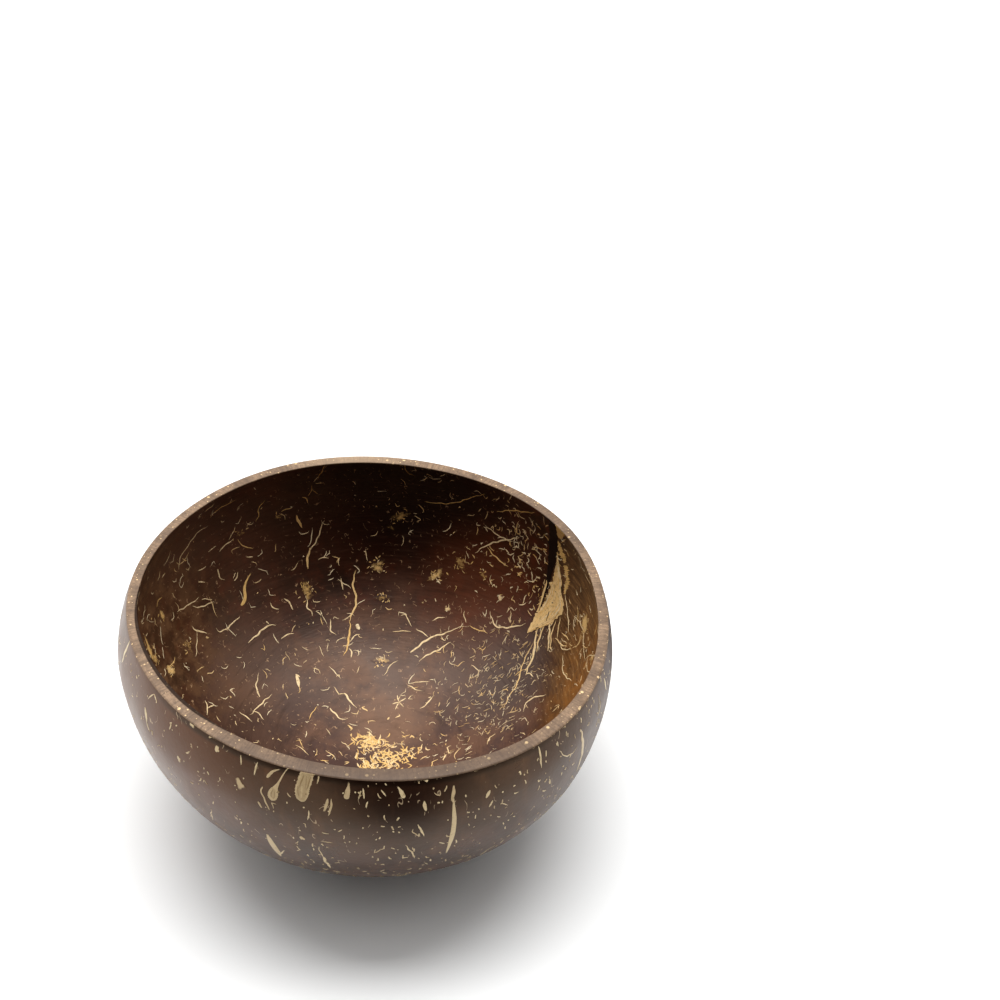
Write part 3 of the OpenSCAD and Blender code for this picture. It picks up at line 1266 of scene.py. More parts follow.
@dataclass
class Shell:
    """The sawn half nut with its ground foot and eased rim."""

    nut: Nut
    columns: int = 192
    rings: int = 66
    foot_rings: int = 6
    ease_segments: int = 3
    sawn_share: float = 0.9
    sharp_deg: float = 45
    in_foot: float = 1e-6
    close: float = 0.01 * MM
    grounded: float = 1e-7

    def skin(self, side: Side) -> bpy.types.Object:
        """Draws half a sphere onto one skin of the wall, with its upper edge on the saw cut.

        Args:
            side: The skin of the wall.

        Returns:
            The open skin, whose faces point out of the wall.
        """
        middle = tuple(self.nut.middle)
        deselect()
        bpy.ops.mesh.primitive_uv_sphere_add(
            segments=self.columns, ring_count=2 * self.rings, radius=self.nut.belly_d / 2, location=middle
        )
        skin = bpy.context.object
        bpy.ops.object.transform_apply(location=True, rotation=True, scale=True)
        bpy.ops.object.mode_set(mode="EDIT")
        bpy.ops.mesh.select_all(action="SELECT")
        bpy.ops.mesh.bisect(plane_co=middle, plane_no=(0, 0, 1), clear_outer=True)
        if side is Side.INSIDE:
            bpy.ops.mesh.select_all(action="SELECT")
            bpy.ops.mesh.flip_normals()
        bpy.ops.object.mode_set(mode="OBJECT")
        rays = unit(coordinates(skin.data) - self.nut.middle)
        lon = np.arctan2(rays[:, 1], rays[:, 0])
        share = 1 + np.arcsin(np.clip(rays[:, 2], -1, 0)) / (TURN / 4)
        pole, rim = np.full_like(lon, -TURN / 4), self.nut.rim_lat(side, lon)
        if side is Side.INSIDE:
            placed = self.nut.place(side, self.nut.rays(lon, pole + (rim - pole) * share))
        else:
            placed = self.with_foot(lon, share, rim)
        skin.data.vertices.foreach_set("co", placed.ravel())
        skin.data.update()
        return skin

    def with_foot(self, lon: np.ndarray, share: np.ndarray, rim: np.ndarray) -> np.ndarray:
        """Places the outer skin so that its first rings make the flat foot.

        Args:
            lon: Longitude of each vertex, in radians.
            share: Its place on the way from the pole to the rim.
            rim: Latitude of the rim above it.

        Returns:
            The vertices' places.
        """
        foot = self.nut.foot_lat(lon)
        foot_share = self.foot_rings / self.rings
        up_wall = np.clip((share - foot_share) / (1 - foot_share), 0, 1)
        placed = self.nut.place(Side.OUTSIDE, self.nut.rays(lon, foot + (rim - foot) * up_wall))
        on_foot = np.minimum(share / foot_share, 1)[:, None]
        edge = self.nut.place(Side.OUTSIDE, self.nut.rays(lon, foot))
        flat = np.column_stack([edge[:, :2] * on_foot, np.zeros(len(lon))])
        return np.where(share[:, None] <= foot_share + self.in_foot, flat, placed)

    def saw_height(self, x: np.ndarray) -> np.ndarray:
        """Height of the saw cut over places along X."""
        return self.nut.belly_h + self.nut.rim_rise - self.nut.saw_fall * x

    def ease_rim(self, shell: bpy.types.Object) -> None:
        """Bevels the two edges of the sawn face.

        Args:
            shell: The closed shell.
        """
        points = coordinates(shell.data)
        on_cut = np.abs(points[:, 2] - self.saw_height(points[:, 0])) < self.close
        radius = np.hypot(points[:, 0], points[:, 1])
        start_selection("EDGE")
        for edge in shell.data.edges:
            a, b = edge.vertices
            round_rim = abs(radius[a] - radius[b]) < self.nut.rim_wall / 2
            edge.select = bool(on_cut[a] and on_cut[b] and round_rim)
        bpy.ops.object.mode_set(mode="EDIT")
        bpy.ops.mesh.bevel(
            offset=self.nut.rim_ease, segments=self.ease_segments, profile=0.5, affect="EDGES"
        )
        bpy.ops.object.mode_set(mode="OBJECT")

    def mark_across(self, shell: bpy.types.Object) -> None:
        """Stores how far each vertex lies from the rim's inner edge towards its outer edge, as a share.

        Args:
            shell: The closed shell.
        """
        points = coordinates(shell.data)
        lon = np.arctan2(points[:, 1], points[:, 0])
        edges = (
            self.nut.place(side, self.nut.rays(lon, self.nut.rim_lat(side, lon)))
            for side in (Side.INSIDE, Side.OUTSIDE)
        )
        inner, outer = (np.linalg.norm(edge[:, :2], axis=1) for edge in edges)
        share = (np.hypot(points[:, 0], points[:, 1]) - inner) / (outer - inner)
        store(shell.data, "across", share)

    def dress(self, shell: bpy.types.Object) -> None:
        """Gives each face its finish, by its place.

        Args:
            shell: The finished shell.
        """
        for finish in (OuterShell(), InnerShell(), SawnRim()):
            shell.data.materials.append(finish.build())
        middle = self.nut.middle
        for face in shell.data.polygons:
            centre = np.array(face.center)
            if centre[2] > self.saw_height(centre[0]) - self.sawn_share * self.nut.rim_ease:
                face.material_index = 2
            elif np.dot(np.array(face.normal), centre - middle) < 0:
                face.material_index = 1

    def make(self) -> bpy.types.Object:
        """Makes the shell.

        Returns:
            The finished piece.
        """
        shell, inner = self.skin(Side.OUTSIDE), self.skin(Side.INSIDE)
        pick(shell, inner)
        bpy.ops.object.join()
        bpy.ops.object.mode_set(mode="EDIT")
        bpy.ops.mesh.select_mode(type="EDGE")
        bpy.ops.mesh.select_all(action="DESELECT")
        bpy.ops.mesh.select_non_manifold()
        bpy.ops.mesh.bridge_edge_loops()
        bpy.ops.object.mode_set(mode="OBJECT")
        self.ease_rim(shell)
        self.mark_across(shell)
        self.dress(shell)
        smooth(shell, self.sharp_deg)
        self.crease_foot(shell)
        shell.name = "oiled_shell"
        return shell

    def crease_foot(self, shell: bpy.types.Object) -> None:
        """Keeps the edge of the ground foot sharp.

        Args:
            shell: The finished shell.
        """
        on_ground = coordinates(shell.data)[:, 2] < self.grounded
        start_selection("FACE")
        for face in shell.data.polygons:
            face.select = all(on_ground[i] for i in face.vertices)
        bpy.ops.object.mode_set(mode="EDIT")
        bpy.ops.mesh.region_to_loop()
        bpy.ops.mesh.mark_sharp()
        bpy.ops.object.mode_set(mode="OBJECT")


@dataclass(frozen=True)
class Strewn:
    """A crowd of short fibres: how many, how long and wide, how they lie, and how much they curl."""

    count: int
    length_mm: tuple[float, float]
    width_mm: tuple[float, float]
    curl_deg: float
    upright_share: float
    tone: tuple[float, float]
    taper: Taper = Taper.NEEDLE
    lowest_deg: float = -90
    clumping: float = 0.0
    around_deg: tuple[float, float] | None = None
    spread: float = 0.2


@dataclass(frozen=True)
class Ribbon:
    """A wide fibre or knot: height, left and right edge of each step in the photograph, and its looks."""

    steps_px: tuple[tuple[float, float, float], ...]
    tone: float = 0.6
    lift_mm: float = 0.12
    cover: float = 1.0
    ragged: float = 0.05


@dataclass(frozen=True)
class Patch:
    """A patch on the wall: its middle in the photograph, half sizes in mm, turn from upright and looks."""

    middle_px: tuple[float, float]
    half_mm: tuple[float, float]
    turn_deg: float = 0.0
    ragged: float = 0.25
    heart: float = 0.8
    border: float = 0.3
    tone: float = 0.55
    seed: int = 1
    fibres: int = 0


@dataclass(frozen=True)
class Lens:
    """A flat patch as stock: a sphere that is pressed to a lens and laid down with an uneven outline."""

    segments: int = 24
    ring_count: int = 12
    crown_lift: float = 0.06 * MM
    sink: float = 0.35 * MM
    edge_lift: float = 0.01 * MM
    wave_heights: tuple[float, float] = (0.4, 1)
    wave_counts: range = range(2, 7)

    def model(self) -> Stock:
        """Models the lens with a radius of one.

        Returns:
            Its vertices and its faces.
        """
        deselect()
        bpy.ops.mesh.primitive_uv_sphere_add(segments=self.segments, ring_count=self.ring_count, radius=1)
        return take_apart(bpy.context.object)

    def outline(self, points: np.ndarray, patch: Patch) -> np.ndarray:
        """Draws the uneven outline of a patch.

        Args:
            points: The lens's vertices.
            patch: The patch.

        Returns:
            How far each vertex is drawn out, as a share of its place on the lens.
        """
        chance = np.random.default_rng(patch.seed)
        turn = np.arctan2(points[:, 1], points[:, 0])
        return 1 + sum(
            patch.ragged / (k - 1) * chance.uniform(*self.wave_heights)
            * np.sin(k * turn + chance.uniform(0, TURN))
            for k in self.wave_counts
        )

    def lift(self, points: np.ndarray) -> np.ndarray:
        """Height above the skin of each vertex of the lens."""
        above = np.where(points[:, 2] > 0, self.crown_lift, self.sink)
        return above * points[:, 2] + self.edge_lift


@dataclass
class SkinFinder:
    """Turns pixels of the photograph to rays that meet the shell where the photograph shows it."""

    nut: Nut
    view: PhotoView
    tree: BVHTree
    roundings: int = 2

    @classmethod
    def over(cls, nut: Nut, view: PhotoView, shell: bpy.types.Object) -> "SkinFinder":
        """Makes a finder over the finished shell.

        Args:
            nut: The nut's surface.
            view: The photograph's point of view.
            shell: The shell.

        Returns:
            The finder.
        """
        faces = [list(p.vertices) for p in shell.data.polygons]
        return cls(nut, view, BVHTree.FromPolygons([tuple(p) for p in coordinates(shell.data)], faces))

    def rays(self, path_px: Sequence[tuple[float, float]]) -> np.ndarray:
        """Follows a path of pixels, with its corners rounded, over the shell.

        Args:
            path_px: Places in the 1000 x 1000 frame.

        Returns:
            Rays from the nut's middle to the places that the pixels show.
        """
        path = np.array(path_px, float)
        for _ in range(self.roundings if len(path) > 2 else 0):
            starts, ends = path[:-1], path[1:]
            near_start, near_end = 0.75 * starts + 0.25 * ends, 0.25 * starts + 0.75 * ends
            inner = np.stack([near_start, near_end], 1).reshape(-1, 2)[1:-1]
            path = np.vstack([path[:1], inner, path[-1:]])
        eye = (self.view.x, self.view.y, self.view.z)
        found = []
        for u, v in path:
            place = self.tree.ray_cast(eye, self.view.ray(u, v))[0]
            if place is not None:
                found.append(unit(np.array(place) - self.nut.middle))
        return np.array(found)


@dataclass
class FibreLayer:
    """Fibres in one skin of the wall, some followed in the photograph and the rest strewn like them."""

    nut: Nut
    side: Side
    finder: SkinFinder
    seed: int
    crown_lift: float = 0.05 * MM
    rim_margin: float = 0.5 * MM
    fine_rows: int = 34
    crowd_rows: int = 8
    wave_turns: tuple[float, float] = (1.5, 4)
    uneven_share: float = 0.12
    uneven_most: float = 0.05 * MM
    thinnest_share: float = 0.3
    cover_gain: float = 1.25
    least_cover: float = 0.35
    lift_shares: tuple[float, float] = (0.7, 1.2)
    wander: float = 0.2 * MM
    wander_span: float = 4.5 * MM
    wander_waves: tuple[tuple[float, float], ...] = ((0.6, 1.0), (0.4, 0.62))
    wander_most_share: float = 1 / 40
    steady_mm: float = 1.0
    bend_share: float = 0.6
    kinked_share: float = 0.6
    kink_deg: tuple[float, float] = (45, 110)
    thickets: int = 40
    thicket_size: float = 0.02
    highest: float = 0.2
    highest_around: float = 0.1
    upright_spread: float = 0.35
    forked_share: float = 0.2
    forked_above_deg: float = 15
    fork_rows: tuple[int, int] = (1, 4)
    fork_turn: tuple[float, float] = (0.7, 1.4)
    fork_length_share: float = 0.55
    fork_width_share: float = 0.85
    bloom_length_mm: tuple[float, float] = (0.5, 1.7)
    bloom_width_mm: tuple[float, float] = (0.18, 0.34)
    bloom_curl_deg: float = 14
    bloom_tones: tuple[float, float] = (-0.15, 0.3)
    ribbon_rows: int = 44
    ribbon_sides: int = 14
    ribbon_margin_share: float = 0.6

    def chance(self, extra: int = 0) -> np.random.Generator:
        """The random numbers of one kind of fibre in this layer."""
        return np.random.default_rng(self.seed + extra)

    def bend(self, lay: Lay, name: str, rows: int, sides: int = 6) -> bpy.types.Object:
        """Bends planks onto this skin, one for each fibre of a lay.

        Args:
            lay: The fibres.
            name: Name of the piece.
            rows: Number of stations along each.
            sides: Number of sides of each, seen from its end.

        Returns:
            All of them as one piece.
        """
        return Plank(rows, sides).bend(self.nut, self.side, lay, name)

    def resampled(self, rays: np.ndarray, rows: int) -> np.ndarray:
        """Spreads stations evenly along a path.

        Args:
            rays: Rays to the path's own points.
            rows: Number of stations.

        Returns:
            Rays to the stations.
        """
        along = lengths_along(rays)
        want = np.linspace(0, along[-1], rows)
        return unit(np.stack([np.interp(want, along, rays[:, k]) for k in range(3)], -1))

    def edges(self, path: np.ndarray, widths: np.ndarray) -> tuple[np.ndarray, np.ndarray]:
        """Rays to both edges of a fibre.

        Args:
            path: Rays to its middle line.
            widths: Its width at each of them.

        Returns:
            Rays to the left edge and to the right edge.
        """
        points = self.nut.place(self.side, path)
        ahead = unit(np.gradient(points, axis=0))
        beside = unit(np.cross(path, ahead)) * widths[:, None] / 2
        left, right = unit(points - beside - self.nut.middle), unit(points + beside - self.nut.middle)
        below = self.nut.below_rim
        return below(self.side, left, self.rim_margin), below(self.side, right, self.rim_margin)

    def strand(
        self, lay: Lay, path: np.ndarray, width: float, taper: Taper, tone: float, chance: np.random.Generator
    ) -> None:
        """Adds one fibre of slightly uneven width to a lay.

        Args:
            lay: The lay.
            path: Rays to its middle line, one for each row of the plank.
            width: Its width at its widest.
            taper: How the width runs along it.
            tone: How pale it is.
            chance: The random numbers to use.
        """
        t = np.linspace(0, 1, len(path))
        waves = np.sin(TURN * (t * chance.uniform(*self.wave_turns) + chance.uniform()))
        uneven = 1 + min(self.uneven_share, self.uneven_most / width) * waves
        left, right = self.edges(path, width * np.maximum(taper.share(t) * uneven, self.thinnest_share))
        cover = np.clip(self.cover_gain * taper.share(t) ** 0.5, self.least_cover, 1)
        lay.add(left, right, self.crown_lift * chance.uniform(*self.lift_shares), tone, cover)

    def traced(self, traces: Sequence[Trace], charted: Sequence[Charted] = ()) -> bpy.types.Object:
        """Bends the fibres that were followed in the photograph, and those that it doesn't show.

        Args:
            traces: The fibres that it shows.
            charted: The fibres on the side that it doesn't show.

        Returns:
            All of them as one piece.
        """
        chance = self.chance()
        lay = Lay()
        for trace in traces:
            path = self.resampled(self.finder.rays(trace.path_px), self.fine_rows)
            # The swerve is drawn for every fibre, so that the fibres after a steady one keep theirs
            swerving = self.wandering(path, chance)
            path = path if trace.width_mm >= self.steady_mm else swerving
            self.strand(lay, path, trace.width_mm * MM, trace.taper, trace.tone, chance)
            lay.lift[-1] = max(lay.lift[-1], trace.lift_mm * MM)
        for fibre in charted:
            places = np.stack([self.nut.ray_at(lon, lat) for lon, lat in fibre.path_deg])
            path = self.wandering(self.resampled(places, self.fine_rows), chance)
            self.strand(lay, path, fibre.width_mm * MM, NEEDLE, fibre.tone, chance)
        return self.bend(lay, f"{self.side.value}_strands", self.fine_rows)

    def wandering(self, path: np.ndarray, chance: np.random.Generator) -> np.ndarray:
        """Lets a followed fibre swerve a little from side to side.

        Args:
            path: Rays to its middle line.
            chance: The random numbers to use.

        Returns:
            Rays to the swerving line.
        """
        points = self.nut.place(self.side, path)
        along = lengths_along(points)
        beside = unit(np.cross(path, unit(np.gradient(points, axis=0))))
        waves = sum(
            share * np.sin(TURN * (along / (self.wander_span * span) + chance.uniform()))
            for share, span in self.wander_waves
        )
        reach = min(self.wander, along[-1] * self.wander_most_share)
        return unit(points + reach * waves[:, None] * beside - self.nut.middle)

    def walk(
        self, start: np.ndarray, heading: float, length: float, curl: float, chance: np.random.Generator
    ) -> np.ndarray:
        """Lets a short fibre wander over the wall.

        Args:
            start: Ray to its first point.
            heading: Angle from the direction of growing longitude, in radians.
            length: Its length.
            curl: How much it turns at each step, in radians.
            chance: The random numbers to use.

        Returns:
            Rays to its stations.
        """
        rays = [start]
        step = length / (self.crowd_rows - 1) / (self.nut.belly_d / 2)
        bend = chance.normal(0, curl * self.bend_share)
        kink = chance.integers(1, self.crowd_rows - 1) if chance.uniform() < self.kinked_share else -1
        for i in range(self.crowd_rows - 1):
            east = unit(np.cross(UP, rays[-1]) + TINY)
            north = np.cross(rays[-1], east)
            rays.append(unit(rays[-1] + step * (math.cos(heading) * east + math.sin(heading) * north)))
            heading += bend + chance.normal(0, curl)
            if i == kink:
                heading += chance.choice((-1, 1)) * math.radians(chance.uniform(*self.kink_deg))
        return np.array(rays)

    def crowd_start(
        self, kind: Strewn, thickets: np.ndarray, chance: np.random.Generator
    ) -> np.ndarray | None:
        """Draws a place for a strewn fibre.

        Args:
            kind: The crowd that it belongs to.
            thickets: Rays to where the crowds are thickest.
            chance: The random numbers to use.

        Returns:
            A ray, or None where no fibre grows at the place that was drawn.
        """
        if kind.around_deg:
            start = unit(self.nut.ray_at(*kind.around_deg) + chance.normal(0, kind.spread, 3))
            if start[2] > self.highest_around:
                return None
        else:
            rise = chance.uniform(math.sin(math.radians(kind.lowest_deg)), self.highest)
            start = self.nut.rays(chance.uniform(-math.pi, math.pi), math.asin(rise))
        crowded = np.exp(-((1 - thickets @ start) / self.thicket_size)).sum()
        grows = chance.uniform() <= (1 - kind.clumping) + kind.clumping * min(crowded, 1)
        return start if grows else None

    def strew(self, kinds: Sequence[Strewn], name: str) -> bpy.types.Object:
        """Strews crowds of short fibres over this skin.

        Args:
            kinds: The crowds.
            name: Name of the piece.

        Returns:
            All the fibres as one piece.
        """
        chance = self.chance(100)
        lay = Lay()
        thickets = unit(chance.normal(size=(self.thickets, 3)))
        for kind in kinds:
            made = 0
            while made < kind.count:
                start = self.crowd_start(kind, thickets, chance)
                if start is None:
                    continue
                if chance.uniform() < kind.upright_share:
                    heading = chance.normal(-TURN / 4, self.upright_spread)
                else:
                    heading = chance.uniform(0, TURN)
                length = chance.uniform(*kind.length_mm) * MM
                width, tone = chance.uniform(*kind.width_mm) * MM, chance.uniform(*kind.tone)
                curl = math.radians(kind.curl_deg)
                path = self.walk(start, heading, length, curl, chance)
                self.strand(lay, path, width, kind.taper, tone, chance)
                if kind.curl_deg > self.forked_above_deg and chance.uniform() < self.forked_share:
                    root = path[chance.integers(*self.fork_rows)]
                    turned = heading + chance.choice((-1, 1)) * chance.uniform(*self.fork_turn)
                    fork = self.walk(root, turned, self.fork_length_share * length, curl, chance)
                    self.strand(lay, fork, self.fork_width_share * width, kind.taper, tone, chance)
                made += 1
        return self.bend(lay, name, self.crowd_rows)

    def bloom(self, patches: Sequence[Patch]) -> bpy.types.Object:
        """Lays the loose ends of the fibres that make up each patch.

        Args:
            patches: The patches.

        Returns:
            All the ends as one piece.
        """
        chance = self.chance(200)
        lay = Lay()
        for patch in patches:
            middle = self.finder.rays([patch.middle_px])[0]
            spread = 0.5 * max(patch.half_mm) * MM / self.nut.belly_d * 2
            for _ in range(patch.fibres):
                start = unit(middle + chance.normal(0, spread, 3))
                length = chance.uniform(*self.bloom_length_mm) * MM
                curl = math.radians(self.bloom_curl_deg)
                path = self.walk(start, chance.uniform(0, TURN), length, curl, chance)
                tone = np.clip(patch.tone + chance.uniform(*self.bloom_tones), 0, 1)
                self.strand(lay, path, chance.uniform(*self.bloom_width_mm) * MM, NEEDLE, tone, chance)
        return self.bend(lay, f"{self.side.value}_bloom_ends", self.crowd_rows)

    def patched(self, patches: Sequence[Patch], name: str) -> bpy.types.Object:
        """Lays flat patches on this skin.

        Args:
            patches: The patches.
            name: Name of the piece.

        Returns:
            All the patches as one piece.
        """
        lens = Lens()
        points, faces = lens.model()
        if self.side is Side.INSIDE:
            faces = [face[::-1] for face in faces]
        radius = np.hypot(points[:, 0], points[:, 1])
        placed, all_faces, tones, covers = [], [], [], []
        for i, patch in enumerate(patches):
            ray = self.finder.rays([patch.middle_px])[0]
            east = unit(np.cross(UP, ray))
            north = np.cross(ray, east)
            angle = math.radians(patch.turn_deg)
            right = math.cos(angle) * east + math.sin(angle) * north
            top = math.cos(angle) * north - math.sin(angle) * east
            size = np.array(patch.half_mm) * MM
            middle = self.nut.place(self.side, ray)
            offset = points[:, :1] * right * size[0] + points[:, 1:2] * top * size[1]
            offset = offset * lens.outline(points, patch)[:, None]
            rays = self.nut.below_rim(self.side, unit(middle + offset - self.nut.middle), self.rim_margin)
            placed.append(self.nut.place(self.side, rays, lens.lift(points)))
            all_faces += [[v + i * len(points) for v in face] for face in faces]
            tones.append(np.full(len(points), patch.tone))
            covers.append(patch.heart + (patch.border - patch.heart) * radius ** 2)
        shading = {"tone": np.concatenate(tones), "cover": np.concatenate(covers)}
        return new_piece(name, np.concatenate(placed), all_faces, shading)

    def ribbon_edges(self, ribbon: Ribbon) -> tuple[np.ndarray, np.ndarray]:
        """Finds both edges of a wide ribbon.

        Args:
            ribbon: The ribbon.

        Returns:
            Rays to the left edge and to the right edge, one for each row.
        """
        found = []
        for k in (1, 2):
            rays = self.finder.rays([(step[k], step[0]) for step in ribbon.steps_px])
            path = self.resampled(rays, self.ribbon_rows)
            found.append(self.nut.below_rim(self.side, path, self.ribbon_margin_share * self.rim_margin))
        return found[0], found[1]

    def ribboned(self, ribbons: Sequence[Ribbon], name: str) -> bpy.types.Object:
        """Lays wide ribbons with frayed edges.

        Args:
            ribbons: The ribbons.
            name: Name of the piece.

        Returns:
            All of them as one piece.
        """
        chance = self.chance(300)
        lay = Lay()
        rows = self.ribbon_rows
        for ribbon in ribbons:
            edges = self.ribbon_edges(ribbon)
            across = edges[1] - edges[0]
            left, right = (unit(edge + across * chance.normal(0, ribbon.ragged, (rows, 1))) for edge in edges)
            lay.add(left, right, ribbon.lift_mm * MM, ribbon.tone, np.full(rows, ribbon.cover))
        return self.bend(lay, name, rows, self.ribbon_sides)


INSIDE_TRACES = (
    Trace(((236, 500), (216, 510), (210, 518)), 0.29, NEEDLE, 0.45),
    Trace(((208, 526), (199, 531), (193, 538), (188, 546), (182, 554), (179, 561), (179, 570)), 0.4),
    Trace(((265, 500), (259, 507), (258, 511), (259, 514), (256, 522)), 0.32, NEEDLE, 0.5),
    Trace(((325, 465), (322, 471), (317, 480)), 0.29, NEEDLE, 0.35),
    Trace(((312, 485), (312, 490), (308, 496)), 0.29, NEEDLE, 0.35),
    Trace(((312, 490), (318, 494)), 0.25, NEEDLE, 0.35),
    Trace(((302, 497), (306, 498), (308, 503)), 0.36, NEEDLE, 0.4),
    Trace(((281, 512), (286, 509), (292, 508)), 0.29, NEEDLE, 0.45),
    Trace(((296, 515), (299, 522), (302, 528)), 0.85, NEEDLE, 0.6),
    Trace(((324, 520), (320, 531), (317, 541), (310, 549), (308, 556)), 0.4),
    Trace(((310, 548), (308, 556), (307, 563), (308, 569)), 0.72, NEEDLE, 0.65),
    Trace(((219, 552), (226, 544), (234, 539)), 0.36),
    Trace(((208, 552), (216, 546)), 0.25),
    Trace(((246, 557), (253, 557)), 0.4),
    Trace(((198, 571), (203, 569), (206, 566)), 0.32),
    Trace(((218, 569), (219, 578), (225, 580)), 0.43, HEAD_FIRST),
    Trace(((238, 572), (237, 578), (234, 581)), 0.36),
    Trace(((198, 582), (205, 582)), 0.43),
    Trace(((252, 572), (247, 579), (244, 588), (245.5, 596), (244, 602), (241, 605.5)), 1.1, HEAD_LAST, 0.55),
    Trace(((162, 578), (165, 573)), 0.32),
    Trace(((162, 597), (158, 600), (157, 607)), 0.29, NEEDLE, 0.5),
    Trace(((177, 612), (187, 606), (199, 598)), 0.36),
    Trace(((192, 606), (201, 608), (207, 604), (214, 602)), 0.36),
    Trace(((216, 628), (219, 632), (224, 631), (232, 624), (240, 616)), 0.4),
    Trace(((192, 626), (196, 631), (203, 632), (207, 633)), 0.54),
    Trace(((197, 631), (197, 643), (196, 657)), 0.29),
    Trace(((248, 643), (258, 634), (269, 624), (276, 626)), 0.5),
    Trace(((269, 624), (266, 621)), 0.32),
    Trace(((281, 639), (288, 634), (294, 633)), 0.36),
    Trace(((284, 598), (290, 603), (293, 610)), 0.47),
    Trace(((270, 602), (272, 608), (279, 609)), 0.36),
    Trace(((306, 596), (308, 601), (306, 609), (313, 611), (312, 616)), 0.43),
    Trace((
        (356, 570), (353, 580), (353, 588), (357, 598), (355, 608), (351, 616), (349, 622),
    ), 0.62, NEEDLE, 0.65),
    Trace(((349, 620), (351, 629), (348, 637), (349, 642), (347, 648), (344, 656)), 0.6, NEEDLE, 0.5),
    Trace(((350, 642), (354, 636), (359, 634)), 0.36),
    Trace(((349, 648), (352, 652), (351, 658)), 0.43),
    Trace(((357, 624), (358, 628), (360, 628)), 1.14, BLUNT, 0.9),
    Trace(((341, 578), (342, 585), (343, 590)), 0.4),
    Trace(((330, 619), (331, 626), (330, 631), (336, 635)), 0.4),
    Trace(((424, 502), (436, 503), (447, 504), (460, 502), (472, 497), (486, 494)), 0.32, NEEDLE, 0.5),
    Trace(((497, 512), (511, 510), (524, 512), (535, 513)), 0.43, NEEDLE, 0.5),
    Trace(((404, 465), (407, 473), (415, 476)), 0.25, NEEDLE, 0.3),
    Trace(((475, 553), (483, 547), (495, 542), (505, 540), (513, 539), (520, 537)), 0.47),
    Trace(((485, 525), (492, 531), (499, 536), (505, 539), (513, 542)), 0.36),
    Trace(((487, 547), (495, 557), (508, 567)), 0.4, NEEDLE, 0.6),
    Trace(((490, 611), (492, 620), (495, 626), (501, 628), (513, 627), (526, 624)), 0.47),
    Trace(((432, 621), (437, 618), (445, 617)), 0.36),
    Trace((
        (410, 653), (420, 645), (429, 638), (438, 635), (447, 633), (458, 627), (469, 626),
    ), 0.6, HEAD_FIRST),
    Trace(((428, 637), (422, 632), (416, 629)), 0.36),
    Trace(((419, 662), (426, 655), (432, 653), (437, 651), (444, 646), (451, 642)), 0.47),
    Trace(((469, 626), (478, 630), (488, 633)), 0.29, NEEDLE, 0.55),
    Trace(((296, 674), (298, 680), (299, 687)), 1.04),
    Trace(((296, 674), (300, 677)), 0.43),
    Trace(((399, 702), (392, 704)), 0.36),
    Trace(((399, 702), (404, 707)), 0.36),
    Trace(((399, 702), (397, 695)), 0.36),
    Trace(((399, 702), (406, 698)), 0.36),
    Trace(((399, 702), (395, 710)), 0.32),
    Trace(((420, 709), (428, 703), (434, 695)), 0.4),
    Trace(((537, 628), (534.5, 645), (533.7, 656), (528.8, 665.5), (525.3, 675.4)), 0.85, NEEDLE, 0.75),
    Trace(((526, 674), (530, 673), (533.5, 677)), 0.4),
    Trace(((546, 622), (540, 635), (537.5, 645), (536.5, 653)), 0.6, NEEDLE, 0.7),
    Trace((
        (533, 643), (526.7, 654.3), (521, 668.3), (517.5, 685), (508.4, 696.4), (503.5, 709),
    ), 0.44, NEEDLE, 0.65),
    Trace(((523.5, 669.5), (519, 672), (514.5, 676)), 0.3, NEEDLE, 0.6),
    Trace(((549.5, 620), (549.2, 636), (547.7, 651)), 0.8, NEEDLE, 0.75),
    Trace(((556.5, 620), (552, 630.5), (550.6, 640), (550.4, 650)), 0.5, NEEDLE, 0.7),
    Trace(((560.3, 616.4), (558, 630.5), (556.8, 639)), 0.45, NEEDLE, 0.7),
    Trace(((555.5, 637.5), (560.3, 644.5), (566.6, 646.6)), 0.4, NEEDLE, 0.7),
    Trace(((561.5, 633), (564.5, 634.5), (569, 640.5)), 0.4, NEEDLE, 0.65),
    Trace(((523, 712), (526, 702), (534, 697), (546, 695)), 0.4),
    Trace(((565, 594), (567.3, 609.4), (568.3, 622), (568.6, 632)), 0.42),
    Trace(((577, 607), (578.5, 615), (577, 625)), 0.35, NEEDLE, 0.6),
    Trace(((581, 633), (580, 641), (577, 646), (572, 648.5)), 0.42, NEEDLE, 0.65),
    Trace(((561, 640), (560, 646), (565, 651), (571, 648)), 0.32),
    Trace(((574, 616), (580, 622), (584, 632), (583, 645), (585, 660)), 0.5),
    Trace(((584, 662), (588, 655), (597, 656)), 0.5),
    Trace(((588, 655), (586, 668), (590, 676)), 0.43),
    Trace(((563, 655), (562, 672), (567, 678), (572, 681)), 0.32),
    Trace(((480, 672), (476, 668), (471, 665)), 0.25),
    Trace(((398, 660), (390, 665), (384, 676)), 0.29),
    Trace(((408, 685), (416, 690), (424, 691)), 0.36, HEAD_FIRST),
    Trace(((410, 683), (420, 682), (430, 681)), 0.29),
    Trace(((250, 715), (256, 709), (262, 703), (272, 694)), 0.36),
    Trace(((344, 693), (349, 699), (352, 704), (358, 709)), 0.54, HEAD_FIRST),
    Trace(((259, 672), (257, 680), (256, 689), (260, 697)), 0.43, HEAD_LAST),
    Trace(((330, 708), (336, 715), (342, 720), (350, 718)), 0.47, HEAD_FIRST),
    Trace(((318, 706), (312, 712), (309, 720)), 0.25, NEEDLE, 0.5),
    Trace(((205, 700), (208, 708), (207, 715)), 0.4),
    Trace(((208, 708), (214, 705)), 0.36),
    Trace(((239, 712), (246, 716), (252, 722)), 0.36),
    Trace(((252, 711), (258, 712), (264, 720)), 0.32),
)

